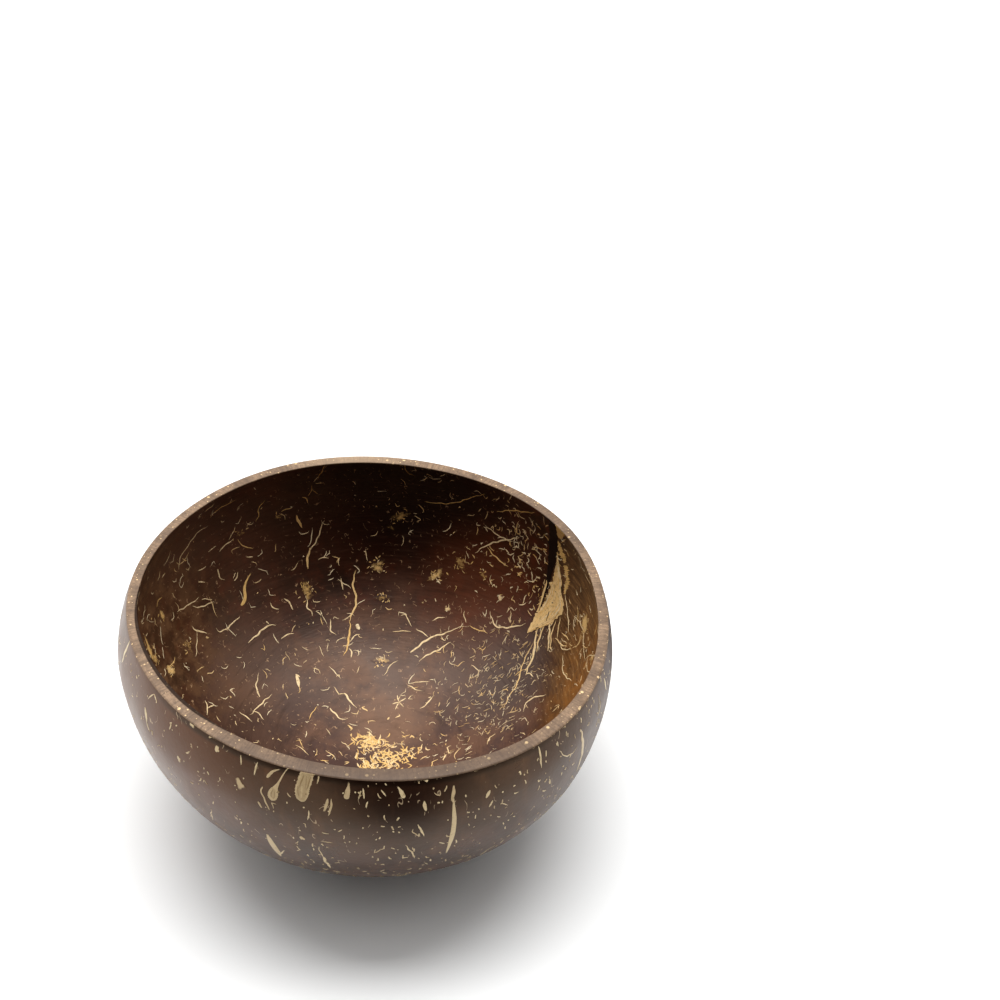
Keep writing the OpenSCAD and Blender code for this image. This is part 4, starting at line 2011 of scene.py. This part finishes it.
OUTSIDE_TRACES = (
    Trace(((130, 641), (125, 652), (122, 663)), 0.95, NEEDLE, 0.9),
    Trace(((148, 699), (151, 696), (154, 694)), 0.36),
    Trace(((154, 694), (156, 699), (157, 703)), 0.36),
    Trace(((145, 707), (146, 714), (147, 722)), 1.14, NEEDLE, 0.8),
    Trace(((146, 720), (148, 727), (150, 732)), 0.43),
    Trace(((266.8, 777.5), (268.5, 774.5), (273, 771.5), (277, 770), (280.8, 769.3)), 0.72, HEAD_FIRST, 0.6),
    Trace(((262.5, 786.5), (261, 792), (264.2, 799.2), (269.8, 810)), 0.4, BLUNT, 0.6),
    Trace(((257.8, 801.3), (259.5, 804), (261.8, 807.8)), 0.45, BLUNT, 0.6),
    Trace(((272.8, 789.6), (270.9, 793), (271.4, 797)), 0.42, NEEDLE, 0.0, 0.09),
    Trace(((275, 791), (274.6, 794), (275, 797)), 0.3, NEEDLE, 0.1, 0.09),
    Trace(((276.6, 792.6), (279.5, 791.6)), 0.5, BLUNT, 0.0, 0.09),
    Trace(((304, 775), (301.6, 780), (300, 787)), 0.5, NEEDLE, 0.05, 0.09),
    Trace(((307, 776), (306, 783), (304.8, 788)), 0.4, NEEDLE, 0.15, 0.09),
    Trace(((310.4, 777), (308.8, 783), (307.4, 789)), 0.5, NEEDLE, 0.08, 0.09),
    Trace(((298, 786), (297.8, 791), (298.6, 796)), 0.45, NEEDLE, 0.12, 0.09),
    Trace(((302.4, 785), (301.4, 791), (301.4, 798)), 0.7, NEEDLE, 0.6, 0.09),
    Trace(((305.4, 793.4), (306.4, 794.6)), 0.6, BLUNT, -0.6, 0.1),
    Trace(((306.5, 771.5), (311.5, 771.5), (314.5, 773.5)), 0.5, NEEDLE, 0.0, 0.09),
    Trace(((318.8, 774), (318.2, 779), (317.2, 784)), 0.36, NEEDLE, 0.6),
    Trace(((349, 782), (348, 790), (346, 799)), 1.3, HEAD_LAST, 0.5),
    Trace(((309, 810), (308, 820)), 0.36),
    Trace(((331.2, 798.6), (331.7, 805), (330.6, 809), (328, 815.5)), 0.5, NEEDLE, 0.6),
    Trace(((267, 834), (270.5, 841), (275, 848), (281, 856)), 1.85, NEEDLE, 0.7),
    Trace(((280, 855), (284, 850)), 0.43),
    Trace(((323, 856), (326, 862), (331, 868)), 0.76),
    Trace(((318, 846), (321, 853), (325, 861)), 0.29),
    Trace(((454, 785), (453, 794), (453, 803)), 0.85, NEEDLE, 0.6),
    Trace(((453.5, 798), (454, 810), (454.5, 822), (452, 838), (446, 853)), 1.2, NEEDLE, 0.75),
    Trace(((397, 786), (401, 791), (404, 798)), 1.04, HEAD_LAST),
    Trace(((538, 746), (541, 757), (541, 768)), 0.54),
    Trace(((546, 750), (546, 757)), 0.36),
    Trace(((474, 860), (484, 852), (495, 845)), 0.5),
    Trace(((405, 845), (411, 851), (415, 858)), 0.4),
    Trace(((418, 824), (421, 830), (424, 836)), 0.5),
    Trace(((489, 807), (493, 800)), 0.5),
    Trace(((486, 798), (490, 790)), 0.85),
    Trace(((500, 803), (508, 805)), 0.25),
    Trace(((559, 751), (566, 757), (572, 754), (577, 747)), 0.29),
    Trace(((604, 678), (606, 690)), 0.76, NEEDLE, 0.9),
    Trace(((254, 775), (256, 767), (258, 762)), 0.47),
    Trace(((241, 755), (241, 765)), 0.36),
    Trace(((211, 809), (213, 820)), 0.36),
    Trace(((424, 801), (426, 811)), 0.85),
    Trace(((381, 790), (386, 796)), 0.36),
    Trace(((363, 788), (364, 799)), 0.43),
    Trace(((307, 787), (309, 776)), 0.36),
    Trace(((427, 782), (425, 776)), 0.85),
)

HIDDEN_STRANDS = (
    Charted(((-38, 3), (-37, -4), (-37.5, -10)), 1.2),
    Charted(((4, 5), (5, -3), (4.5, -14)), 1.1),
    Charted(((47, -9), (48.5, -14)), 1.3),
    Charted(((88, 6), (87, 0), (87.5, -7)), 1.5),
    Charted(((131, 1), (132, -8), (131, -18)), 1.0),
    Charted(((168, -12), (169, -17)), 1.2),
)

TONGUE_PX = (
    (768.8, 302, 316), (772, 300.5, 315.4), (775.7, 299, 314), (779, 297.6, 312.8), (782.6, 296.3, 311.8),
    (786, 295.3, 310.6), (790, 294.7, 309.2), (794, 294.8, 308.8), (797.5, 296.3, 307.6), (800, 298.6, 306.2),
    (801.5, 301, 304.5),
)
TADPOLE_PX = (
    (766.5, 289, 289.8), (771.6, 284.5, 285.8), (776, 281.5, 283.1), (780.3, 278.9, 281),
    (783.5, 276.6, 279.4), (786, 273.4, 278.4), (788.5, 270.2, 278), (791, 268.4, 277.6),
    (793.5, 267.5, 278.2), (796.5, 267.9, 278.2), (799, 269.6, 276.8), (800.4, 271.5, 275.3),
)
OUTSIDE_RIBBONS = (
    Ribbon(TONGUE_PX, 0.55, 0.04, ragged=0.02),
    Ribbon(tuple((v, u + 1.3, w - 1.3) for v, u, w in TONGUE_PX[:-1]), 0.3, 0.06, ragged=0.03),
    Ribbon(((768.2, 306, 316), (770.5, 308, 316.2), (773.5, 313, 315.6)), 0.95, 0.08, ragged=0.06),
    Ribbon(TADPOLE_PX, 0.6, 0.04, ragged=0.02),
    Ribbon((
        (789, 272.2, 276), (791.5, 270.5, 275.8), (794, 270, 276), (797, 271, 275.6), (798.6, 272.4, 274.6),
    ), 0.3, 0.06),
    Ribbon((
        (798.8, 327, 328.3), (802, 325.8, 328.6), (805, 324.8, 327.8), (808, 324, 326.8), (811, 323.2, 325.2),
    ), 0.6, 0.04),
)

INSIDE_PATCHES = (
    Patch((307, 590), (2.6, 3.4), 20, 0.4, 0.46, 0.08, 0.5, 1, fibres=22),
    Patch((378, 567), (2.2, 2.8), -10, 0.4, 0.5, 0.1, 0.6, 2, fibres=20),
    Patch((383, 598), (2.8, 1.2), 0, 0.4, 0.38, 0.05, 0.45, 3, fibres=9),
    Patch((400, 516), (2.8, 1.8), 0, 0.4, 0.52, 0.12, 0.4, 4, fibres=12),
    Patch((390, 527), (2.4, 1.1), 0, 0.4, 0.36, 0.05, 0.35, 5, fibres=6),
    Patch((436, 575), (2.8, 2.0), -30, 0.4, 0.54, 0.1, 0.6, 6, fibres=20),
    Patch((461, 562), (3.8, 2.6), 0, 0.45, 0.38, 0.05, 0.4, 7, fibres=18),
    Patch((484, 576), (1.5, 1.2), 0, 0.4, 0.46, 0.1, 0.5, 8, fibres=7),
    Patch((447, 609), (1.0, 1.0), 0, 0.3, 0.6, 0.2, 0.7, 9, fibres=6),
    Patch((279, 517), (1.4, 1.1), 0, 0.4, 0.44, 0.1, 0.4, 10, fibres=6),
    Patch((240, 533), (2.0, 1.3), 30, 0.4, 0.42, 0.08, 0.4, 11, fibres=6),
    Patch((162, 615), (1.2, 2.1), 0, 0.4, 0.62, 0.12, 0.5, 12, fibres=8),
    Patch((170.5, 670), (1.8, 1.5), 0, 0.35, 0.8, 0.2, 0.6, 13, fibres=26),
    Patch((381, 660), (2.6, 1.6), 20, 0.45, 0.45, 0.05, 0.6, 14, fibres=20),
    Patch((188, 646), (1.6, 2.4), 10, 0.4, 0.4, 0.08, 0.4, 15, fibres=9),
    Patch((149.5, 650), (0.9, 4.2), 8, 0.4, 0.85, 0.2, 0.5, 16, fibres=12),
    Patch((155, 658), (1.0, 2.2), 20, 0.4, 0.6, 0.15, 0.5, 26, fibres=12),
    Patch((585, 624), (1.9, 4.2), 0, 0.4, 0.8, 0.15, 0.6, 17, fibres=34),
    Patch((500, 598), (1.2, 1.0), 0, 0.4, 0.6, 0.1, 0.8, 19, fibres=8),
    Patch((592, 658), (1.2, 2.4), 10, 0.45, 0.6, 0.1, 0.6, 24, fibres=10),
    Patch((544, 596), (3.0, 2.2), 30, 0.45, 0.3, 0.05, 0.5, 22, fibres=16),
)

OUTSIDE_PATCHES = (
    Patch((240, 784), (1.3, 1.3), 0, 0.4, 0.85, 0.3, 0.55, 33, fibres=5),
    Patch((217, 749), (0.7, 0.75), 20, 0.3, 0.9, 0.5, 0.75, 34),
    Patch((179, 759), (0.6, 0.8), 0, 0.3, 0.9, 0.5, 0.7, 35),
    Patch((302, 838), (0.6, 0.7), 0, 0.3, 0.9, 0.5, 0.65, 36),
    Patch((192, 723), (1.1, 0.8), 0, 0.4, 0.9, 0.3, 0.75, 37),
    Patch((214, 735), (1.0, 0.6), 30, 0.4, 0.9, 0.3, 0.7, 38),
)

INSIDE_CROWDS = (
    Strewn(560, (1.8, 4.6), (0.18, 0.28), 15, 0.25, (0.6, 1.0), clumping=0.4),
    Strewn(200, (0.5, 1.3), (0.2, 0.32), 20, 0.2, (0.6, 1.0), clumping=0.3),
    Strewn(90, (4, 7.5), (0.22, 0.34), 12, 0.4, (0.55, 1.0), clumping=0.3),
    Strewn(340, (1.0, 3.2), (0.11, 0.18), 13, 0.5, (0.6, 1.0), around_deg=(28, -44), spread=0.2),
    Strewn(150, (1.2, 3.4), (0.2, 0.34), 18, 0.1, (0.5, 1.0), around_deg=(47, -8), spread=0.14),
    Strewn(60, (1.2, 3.4), (0.22, 0.36), 20, 0.4, (0.6, 1.0), around_deg=(-18, -14), spread=0.14),
)

OUTSIDE_CROWDS = (
    Strewn(640, (0.8, 2.0), (0.22, 0.42), 8, 0.75, (0.5, 1.0), BLUNT, -66),
    Strewn(860, (0.35, 0.7), (0.24, 0.4), 8, 0.5, (0.4, 1.0), BLUNT, -67),
    Strewn(90, (2.2, 4.5), (0.2, 0.34), 12, 0.6, (0.5, 0.9), NEEDLE, -64),
    Strewn(130, (0.6, 1.7), (0.2, 0.36), 8, 0.7, (0.5, 1.0), BLUNT, around_deg=(-42, -8), spread=0.26),
    Strewn(90, (0.7, 2.0), (0.22, 0.4), 8, 0.8, (0.5, 0.9), BLUNT, around_deg=(-86, -24), spread=0.24),
)


@dataclass
class WedgeBundle:
    """The wide bundle on the right wall, whose fibres fan out downwards from the rim."""

    layer: FibreLayer
    crown_lift: float = 0.12 * MM
    mark_lift: float = 0.09 * MM
    fibres: int = 90
    fibre_width_mm: tuple[float, float] = (0.2, 0.5)
    fibre_lift_mm: tuple[float, float] = (0.02, 0.06)
    fibre_tones: tuple[float, float] = (0.35, 1.0)
    fibre_spans: tuple[int, int] = (4, 14)
    bare_rows: tuple[int, int, int] = (2, 6, 3)
    places_across: tuple[float, float] = (0.06, 0.94)
    slant: float = 0.05
    margin_across: float = 0.02
    seed: int = 21
    body: Ribbon = Ribbon((
        (555.4, 557.3, 557.9), (561.7, 556.7, 558.6), (567.3, 555.7, 559.6), (573, 554.4, 560.6),
        (578.6, 552.8, 561.3), (582.8, 551.3, 561.7), (587, 550.1, 561.6), (591.2, 548.7, 561.0),
        (595.4, 546.9, 561.7), (599.6, 545.2, 562.9), (603.8, 543.2, 563.4), (608, 540.2, 563.7),
        (612.2, 536.5, 562.7), (616.4, 534.5, 559.2), (620.6, 532.5, 555.6), (624.2, 530.9, 551.5),
        (627, 529.6, 544), (629.1, 528.6, 537.6), (631.2, 527.8, 532.4), (633, 527.2, 528),
    ), 0.66)
    others: tuple[Ribbon, ...] = (
        Ribbon((
            (580.3, 546.4, 547.2), (584, 545.6, 547.9), (589, 543.6, 546.5), (594, 542.2, 544.9),
            (600, 540.6, 542.9), (606, 539, 541.2), (612, 536.4, 539),
        ), 0.66),
        Ribbon((
            (524.6, 555.5, 556.2), (528, 555.8, 559.5), (531, 556, 562.8), (534, 556.6, 565.6),
            (536.5, 557.4, 564), (539, 560.3, 562),
        ), 0.34, 0.06),
        Ribbon((
            (541, 557.6, 558.4), (545, 558, 560.6), (549, 558.6, 562.2), (553, 559.6, 563),
            (556.5, 560.8, 565.4), (560, 562.4, 565.8), (563, 563.6, 565.6),
        ), 0.4, 0.05, 0.8, 0.2),
        Ribbon((
            (565.5, 563.8, 566.4), (569, 564.2, 568.6), (573, 564.6, 568.2), (577, 565.8, 568.4),
            (582, 566.2, 569.8), (586, 565, 568.2), (590, 564, 566.4), (594, 563.6, 565.2),
        ), 0.4, 0.05, 0.66, 0.24),
    )
    # Painted shade: a near-black strip along the ridge beside the bundle, where the wall turns into shade
    ridge_shade: Ribbon = Ribbon((
        (512, 551, 552.5), (521, 549.5, 555.5), (536, 549, 558), (553, 548.5, 557.5), (566, 547.5, 554.5),
        (578, 546.5, 551), (590, 544.5, 547), (602, 541.5, 543), (611, 538.5, 539.5),
    ), 0.0, 0.1)
    slit: Trace = Trace(((549.4, 611), (548.9, 614), (547.6, 617), (546.9, 621)), 0.5, BLUNT, 0.0)
    pits: tuple[Trace, ...] = (
        Trace(((552.7, 602.5), (553.6, 603.1)), 0.55, BLUNT, 0.0),
        Trace(((556, 591), (556.6, 592.5)), 0.3, BLUNT, 0.0),
        Trace(((561.5, 586.5), (562, 590), (561.6, 592.5)), 0.35, BLUNT, 0.0),
        Trace(((536, 628.4), (539, 627.2)), 0.3, BLUNT, 0.0),
    )

    def grain(self) -> bpy.types.Object:
        """Lays the single fibres that show on the face of the bundle.

        Returns:
            The fibres as one piece.
        """
        chance = np.random.default_rng(self.seed + 1)
        left, right = self.layer.ribbon_edges(self.body)
        lay = Lay()
        rows, all_rows = self.layer.crowd_rows, self.layer.ribbon_rows
        above, short_of, below = self.bare_rows
        margin = self.margin_across
        for _ in range(self.fibres):
            first = chance.integers(above, all_rows - rows - short_of)
            span = chance.integers(*self.fibre_spans)
            at = np.linspace(first, min(first + span, all_rows - below), rows)
            share = chance.uniform(*self.places_across) + np.linspace(0, chance.normal(0, self.slant), rows)
            low, high = np.floor(at).astype(int), np.ceil(at).astype(int)
            part = (at - low)[:, None]
            first_edge, last_edge = (edge[low] * (1 - part) + edge[high] * part for edge in (left, right))
            path = unit(first_edge + (last_edge - first_edge) * np.clip(share, margin, 1 - margin)[:, None])
            tone = chance.uniform(*self.fibre_tones)
            self.layer.strand(lay, path, chance.uniform(*self.fibre_width_mm) * MM, NEEDLE, tone, chance)
            lay.lift[-1] = self.crown_lift + chance.uniform(*self.fibre_lift_mm) * MM
        return self.layer.bend(lay, "wedge_grain", rows)

    def dark_marks(self) -> bpy.types.Object:
        """Lays the pith that fills the slit and the pits.

        Returns:
            All of it as one piece.
        """
        chance = np.random.default_rng(self.seed + 2)
        lay = Lay()
        rows = self.layer.crowd_rows
        for trace in (self.slit, *self.pits):
            path = self.layer.resampled(self.layer.finder.rays(trace.path_px), rows)
            self.layer.strand(lay, path, trace.width_mm * MM, trace.taper, trace.tone, chance)
            lay.lift[-1] = self.crown_lift + self.mark_lift
        return self.layer.bend(lay, "wedge_marks", rows)

    def make(self) -> tuple[bpy.types.Object, bpy.types.Object, bpy.types.Object]:
        """Makes the bundle, the slivers above it and the painted ridge shade beside them.

        Returns:
            The bundle, its grain and the painted ridge shade with the dark marks.
        """
        body = self.layer.ribboned((self.body, *self.others), "wedge_bundle_fibres")
        ridge_shade, marks = self.layer.ribboned((self.ridge_shade,), "wedge_ridge_shade"), self.dark_marks()
        pick(ridge_shade, marks)
        bpy.ops.object.join()
        return body, self.grain(), ridge_shade


@dataclass(frozen=True)
class Lobe:
    """A thick spot of a tuft: its place on the bowl's floor, its spread and its number of fibres."""

    x_mm: float
    y_mm: float
    spread_mm: float
    fibres: int


@dataclass
class PoleTuft:
    """The tuft of short crossed fibres at the bottom of the bowl, where the nut hung."""

    layer: FibreLayer
    lobes: tuple[Lobe, ...] = (
        Lobe(-3.8, 7, 1.5, 46), Lobe(-4.4, 6.6, 2.6, 36), Lobe(1.4, 3.8, 1.3, 16), Lobe(4.4, 0.4, 1.3, 22),
        Lobe(7.2, 1.4, 1.2, 18), Lobe(8.6, 2.2, 2.2, 16), Lobe(-3.8, -2.6, 1.3, 24), Lobe(0.8, -1.8, 2.2, 24),
        Lobe(0, -6, 3.4, 50), Lobe(1, 2, 6, 40),
    )
    length_mm: tuple[float, float] = (1.4, 4.6)
    width_mm: tuple[float, float] = (0.26, 0.55)
    tones: tuple[float, float] = (0.45, 0.8)
    curl_deg: float = 11
    seed: int = 11

    def make(self) -> bpy.types.Object:
        """Makes the tuft.

        Returns:
            The finished piece.
        """
        nut, layer = self.layer.nut, self.layer
        chance = np.random.default_rng(self.seed)
        lay = Lay()
        floor_depth = nut.pole_depth - nut.pole_wall
        curl = math.radians(self.curl_deg)
        for lobe in self.lobes:
            for _ in range(lobe.fibres):
                x, y = chance.normal((lobe.x_mm, lobe.y_mm), lobe.spread_mm) * MM
                start = unit(np.array([x, y, -floor_depth]))
                length = chance.uniform(*self.length_mm) * MM
                path = layer.walk(start, chance.uniform(0, TURN), length, curl, chance)
                width, tone = chance.uniform(*self.width_mm) * MM, chance.uniform(*self.tones)
                layer.strand(lay, path, width, NEEDLE, tone, chance)
        return layer.bend(lay, "pole_tuft_fibres", layer.crowd_rows)


@dataclass
class Studio:
    """A white board, a big soft lamp overhead and pale surroundings that are dark only behind the camera."""

    floor_size: float = 6.0
    lamp_size: tuple[float, float] = (1.5, 0.6)
    lamp_height: float = 1.2
    lamp_x: float = 0.0
    lamp_y: float = 0.14
    lamp_power: float = 18.0
    surround: str = "#ffffff"
    fill_strength: float = 1.0
    gleam_left: float = 2.3
    gleam_right: float = 0.4
    dark_strength: float = 0.01
    behind_camera: tuple[float, float] = (-0.65, 0.0)
    overhead: tuple[float, float] = (0.7, 0.98)

    def floor(self) -> bpy.types.Object:
        """Makes the floor.

        Returns:
            The floor.
        """
        deselect()
        bpy.ops.mesh.primitive_plane_add(size=self.floor_size)
        floor = bpy.context.object
        floor.name = "floor"
        floor.data.materials.append(WhiteBoard().build())
        return floor

    def lamp(self) -> bpy.types.Object:
        """Adds the soft lamp, aimed at the bowl.

        Returns:
            The lamp.
        """
        tilt = math.atan2(self.lamp_y, self.lamp_height)
        lean = math.atan2(self.lamp_x, self.lamp_height)
        deselect()
        place = (self.lamp_x, self.lamp_y, self.lamp_height)
        bpy.ops.object.light_add(type="AREA", location=place, rotation=(-tilt, lean, 0))
        lamp = bpy.context.object
        lamp.name = "soft_lamp"
        lamp.data.shape = "ELLIPSE"
        lamp.data.size, lamp.data.size_y = self.lamp_size
        lamp.data.energy = self.lamp_power
        return lamp

    def surroundings(self) -> None:
        """Sets pale surroundings that reflections see as dark low down on the camera's side."""
        world = bpy.data.worlds.new("pale_room")
        world.use_nodes = True
        bpy.context.scene.world = world
        tree = world.node_tree
        direction = add_node(tree, "TexCoord").outputs["Generated"]
        axes = add_node(tree, "SeparateXYZ", {0: direction}).outputs
        away, high = Band(axes[1], *self.behind_camera).wire(tree), Band(axes[2], *self.overhead).wire(tree)
        open_sky = add_node(tree, "Math", {"operation": "MAXIMUM", 0: away, 1: high}).outputs[0]
        rays = add_node(tree, "LightPath").outputs
        # What the gloss mirrors is brighter on the left side of the room than on the right
        gleam = Band(axes[0], -1.0, 1.0, self.gleam_left, self.gleam_right).wire(tree)
        bright = add_node(tree, "MapRange", {
            "Value": rays["Is Glossy Ray"], "To Min": self.fill_strength, "To Max": gleam,
        }).outputs[0]
        seen = add_node(tree, "MapRange", {
            "Value": open_sky, "To Min": self.dark_strength, "To Max": bright,
        }).outputs[0]
        glow = add_node(tree, "MixRGB", {0: rays["Is Camera Ray"], 1: seen, 2: "#ffffff"}).outputs[0]
        feed(tree, tree.nodes["Background"], {"Color": self.surround, "Strength": glow})

    def make(self) -> None:
        """Sets up floor, lamp, surroundings and how light turns to picture."""
        self.floor()
        self.lamp()
        self.surroundings()
        bpy.context.scene.view_settings.view_transform = "Standard"


def keep(piece: bpy.types.Object, slot: str, finish: bpy.types.Material | None, *nodes: str) -> None:
    """Dresses a finished piece, ties it to the frame and reports it.

    Args:
        piece: The piece.
        slot: Not used.
        finish: Its material, or None where it has its own already.
        nodes: The construction nodes that it stands for.
    """
    if finish is not None:
        piece.data.materials.clear()
        piece.data.materials.append(finish)
        smooth(piece, FIBRE_CREASE_DEG)
    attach(piece, BODY)
    if nodes:
        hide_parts(*nodes)
    log.info("%s: %d faces", piece.name, len(piece.data.polygons))


def main() -> None:
    """Builds the bowl and its surroundings, in order, and reports each piece."""
    logging.basicConfig(level=logging.INFO, format="%(message)s")
    nut, view = Nut(), PhotoView()
    view.make()
    Studio().make()

    shell = Shell(nut).make()
    keep(shell, "shell", None, "shell")
    finder = SkinFinder.over(nut, view, shell)
    inside = FibreLayer(nut, Side.INSIDE, finder, 3)
    outside = FibreLayer(nut, Side.OUTSIDE, finder, 7, 0.03 * MM)
    fibre_in = CoirFibre().build()
    fibre_out = CoirFibre("coir_fibre_outside", OuterShell(), "#d8c49a", "#b7a07a", "#86714e").build()

    keep(inside.traced(INSIDE_TRACES), "fibre", fibre_in, "inner_strands")
    keep(outside.traced(OUTSIDE_TRACES, HIDDEN_STRANDS), "fibre", fibre_out, "outer_strands")
    keep(inside.patched(INSIDE_PATCHES, "inside_blooms"), "fibre", fibre_in)
    keep(outside.patched(OUTSIDE_PATCHES, "outside_knots"), "fibre", fibre_out)
    keep(outside.ribboned(OUTSIDE_RIBBONS, "outside_tongues"), "fibre", fibre_out)
    keep(inside.strew(INSIDE_CROWDS, "inside_threads"), "fibre", fibre_in)
    keep(outside.strew(OUTSIDE_CROWDS, "outside_flecks"), "fibre", fibre_out)
    keep(inside.bloom(INSIDE_PATCHES), "fibre", fibre_in)
    body, grain, ridge_shade = WedgeBundle(inside).make()
    keep(body, "fibre", fibre_in, "wedge_bundle")
    keep(grain, "fibre", fibre_in)
    # The painted ridge shade, and the pith in the bundle's pits
    keep(ridge_shade, "fibre", DarkPithAndShade().build())
    keep(PoleTuft(inside).make(), "fibre", fibre_in, "pole_tuft")


if __name__ == "__main__":
    main()
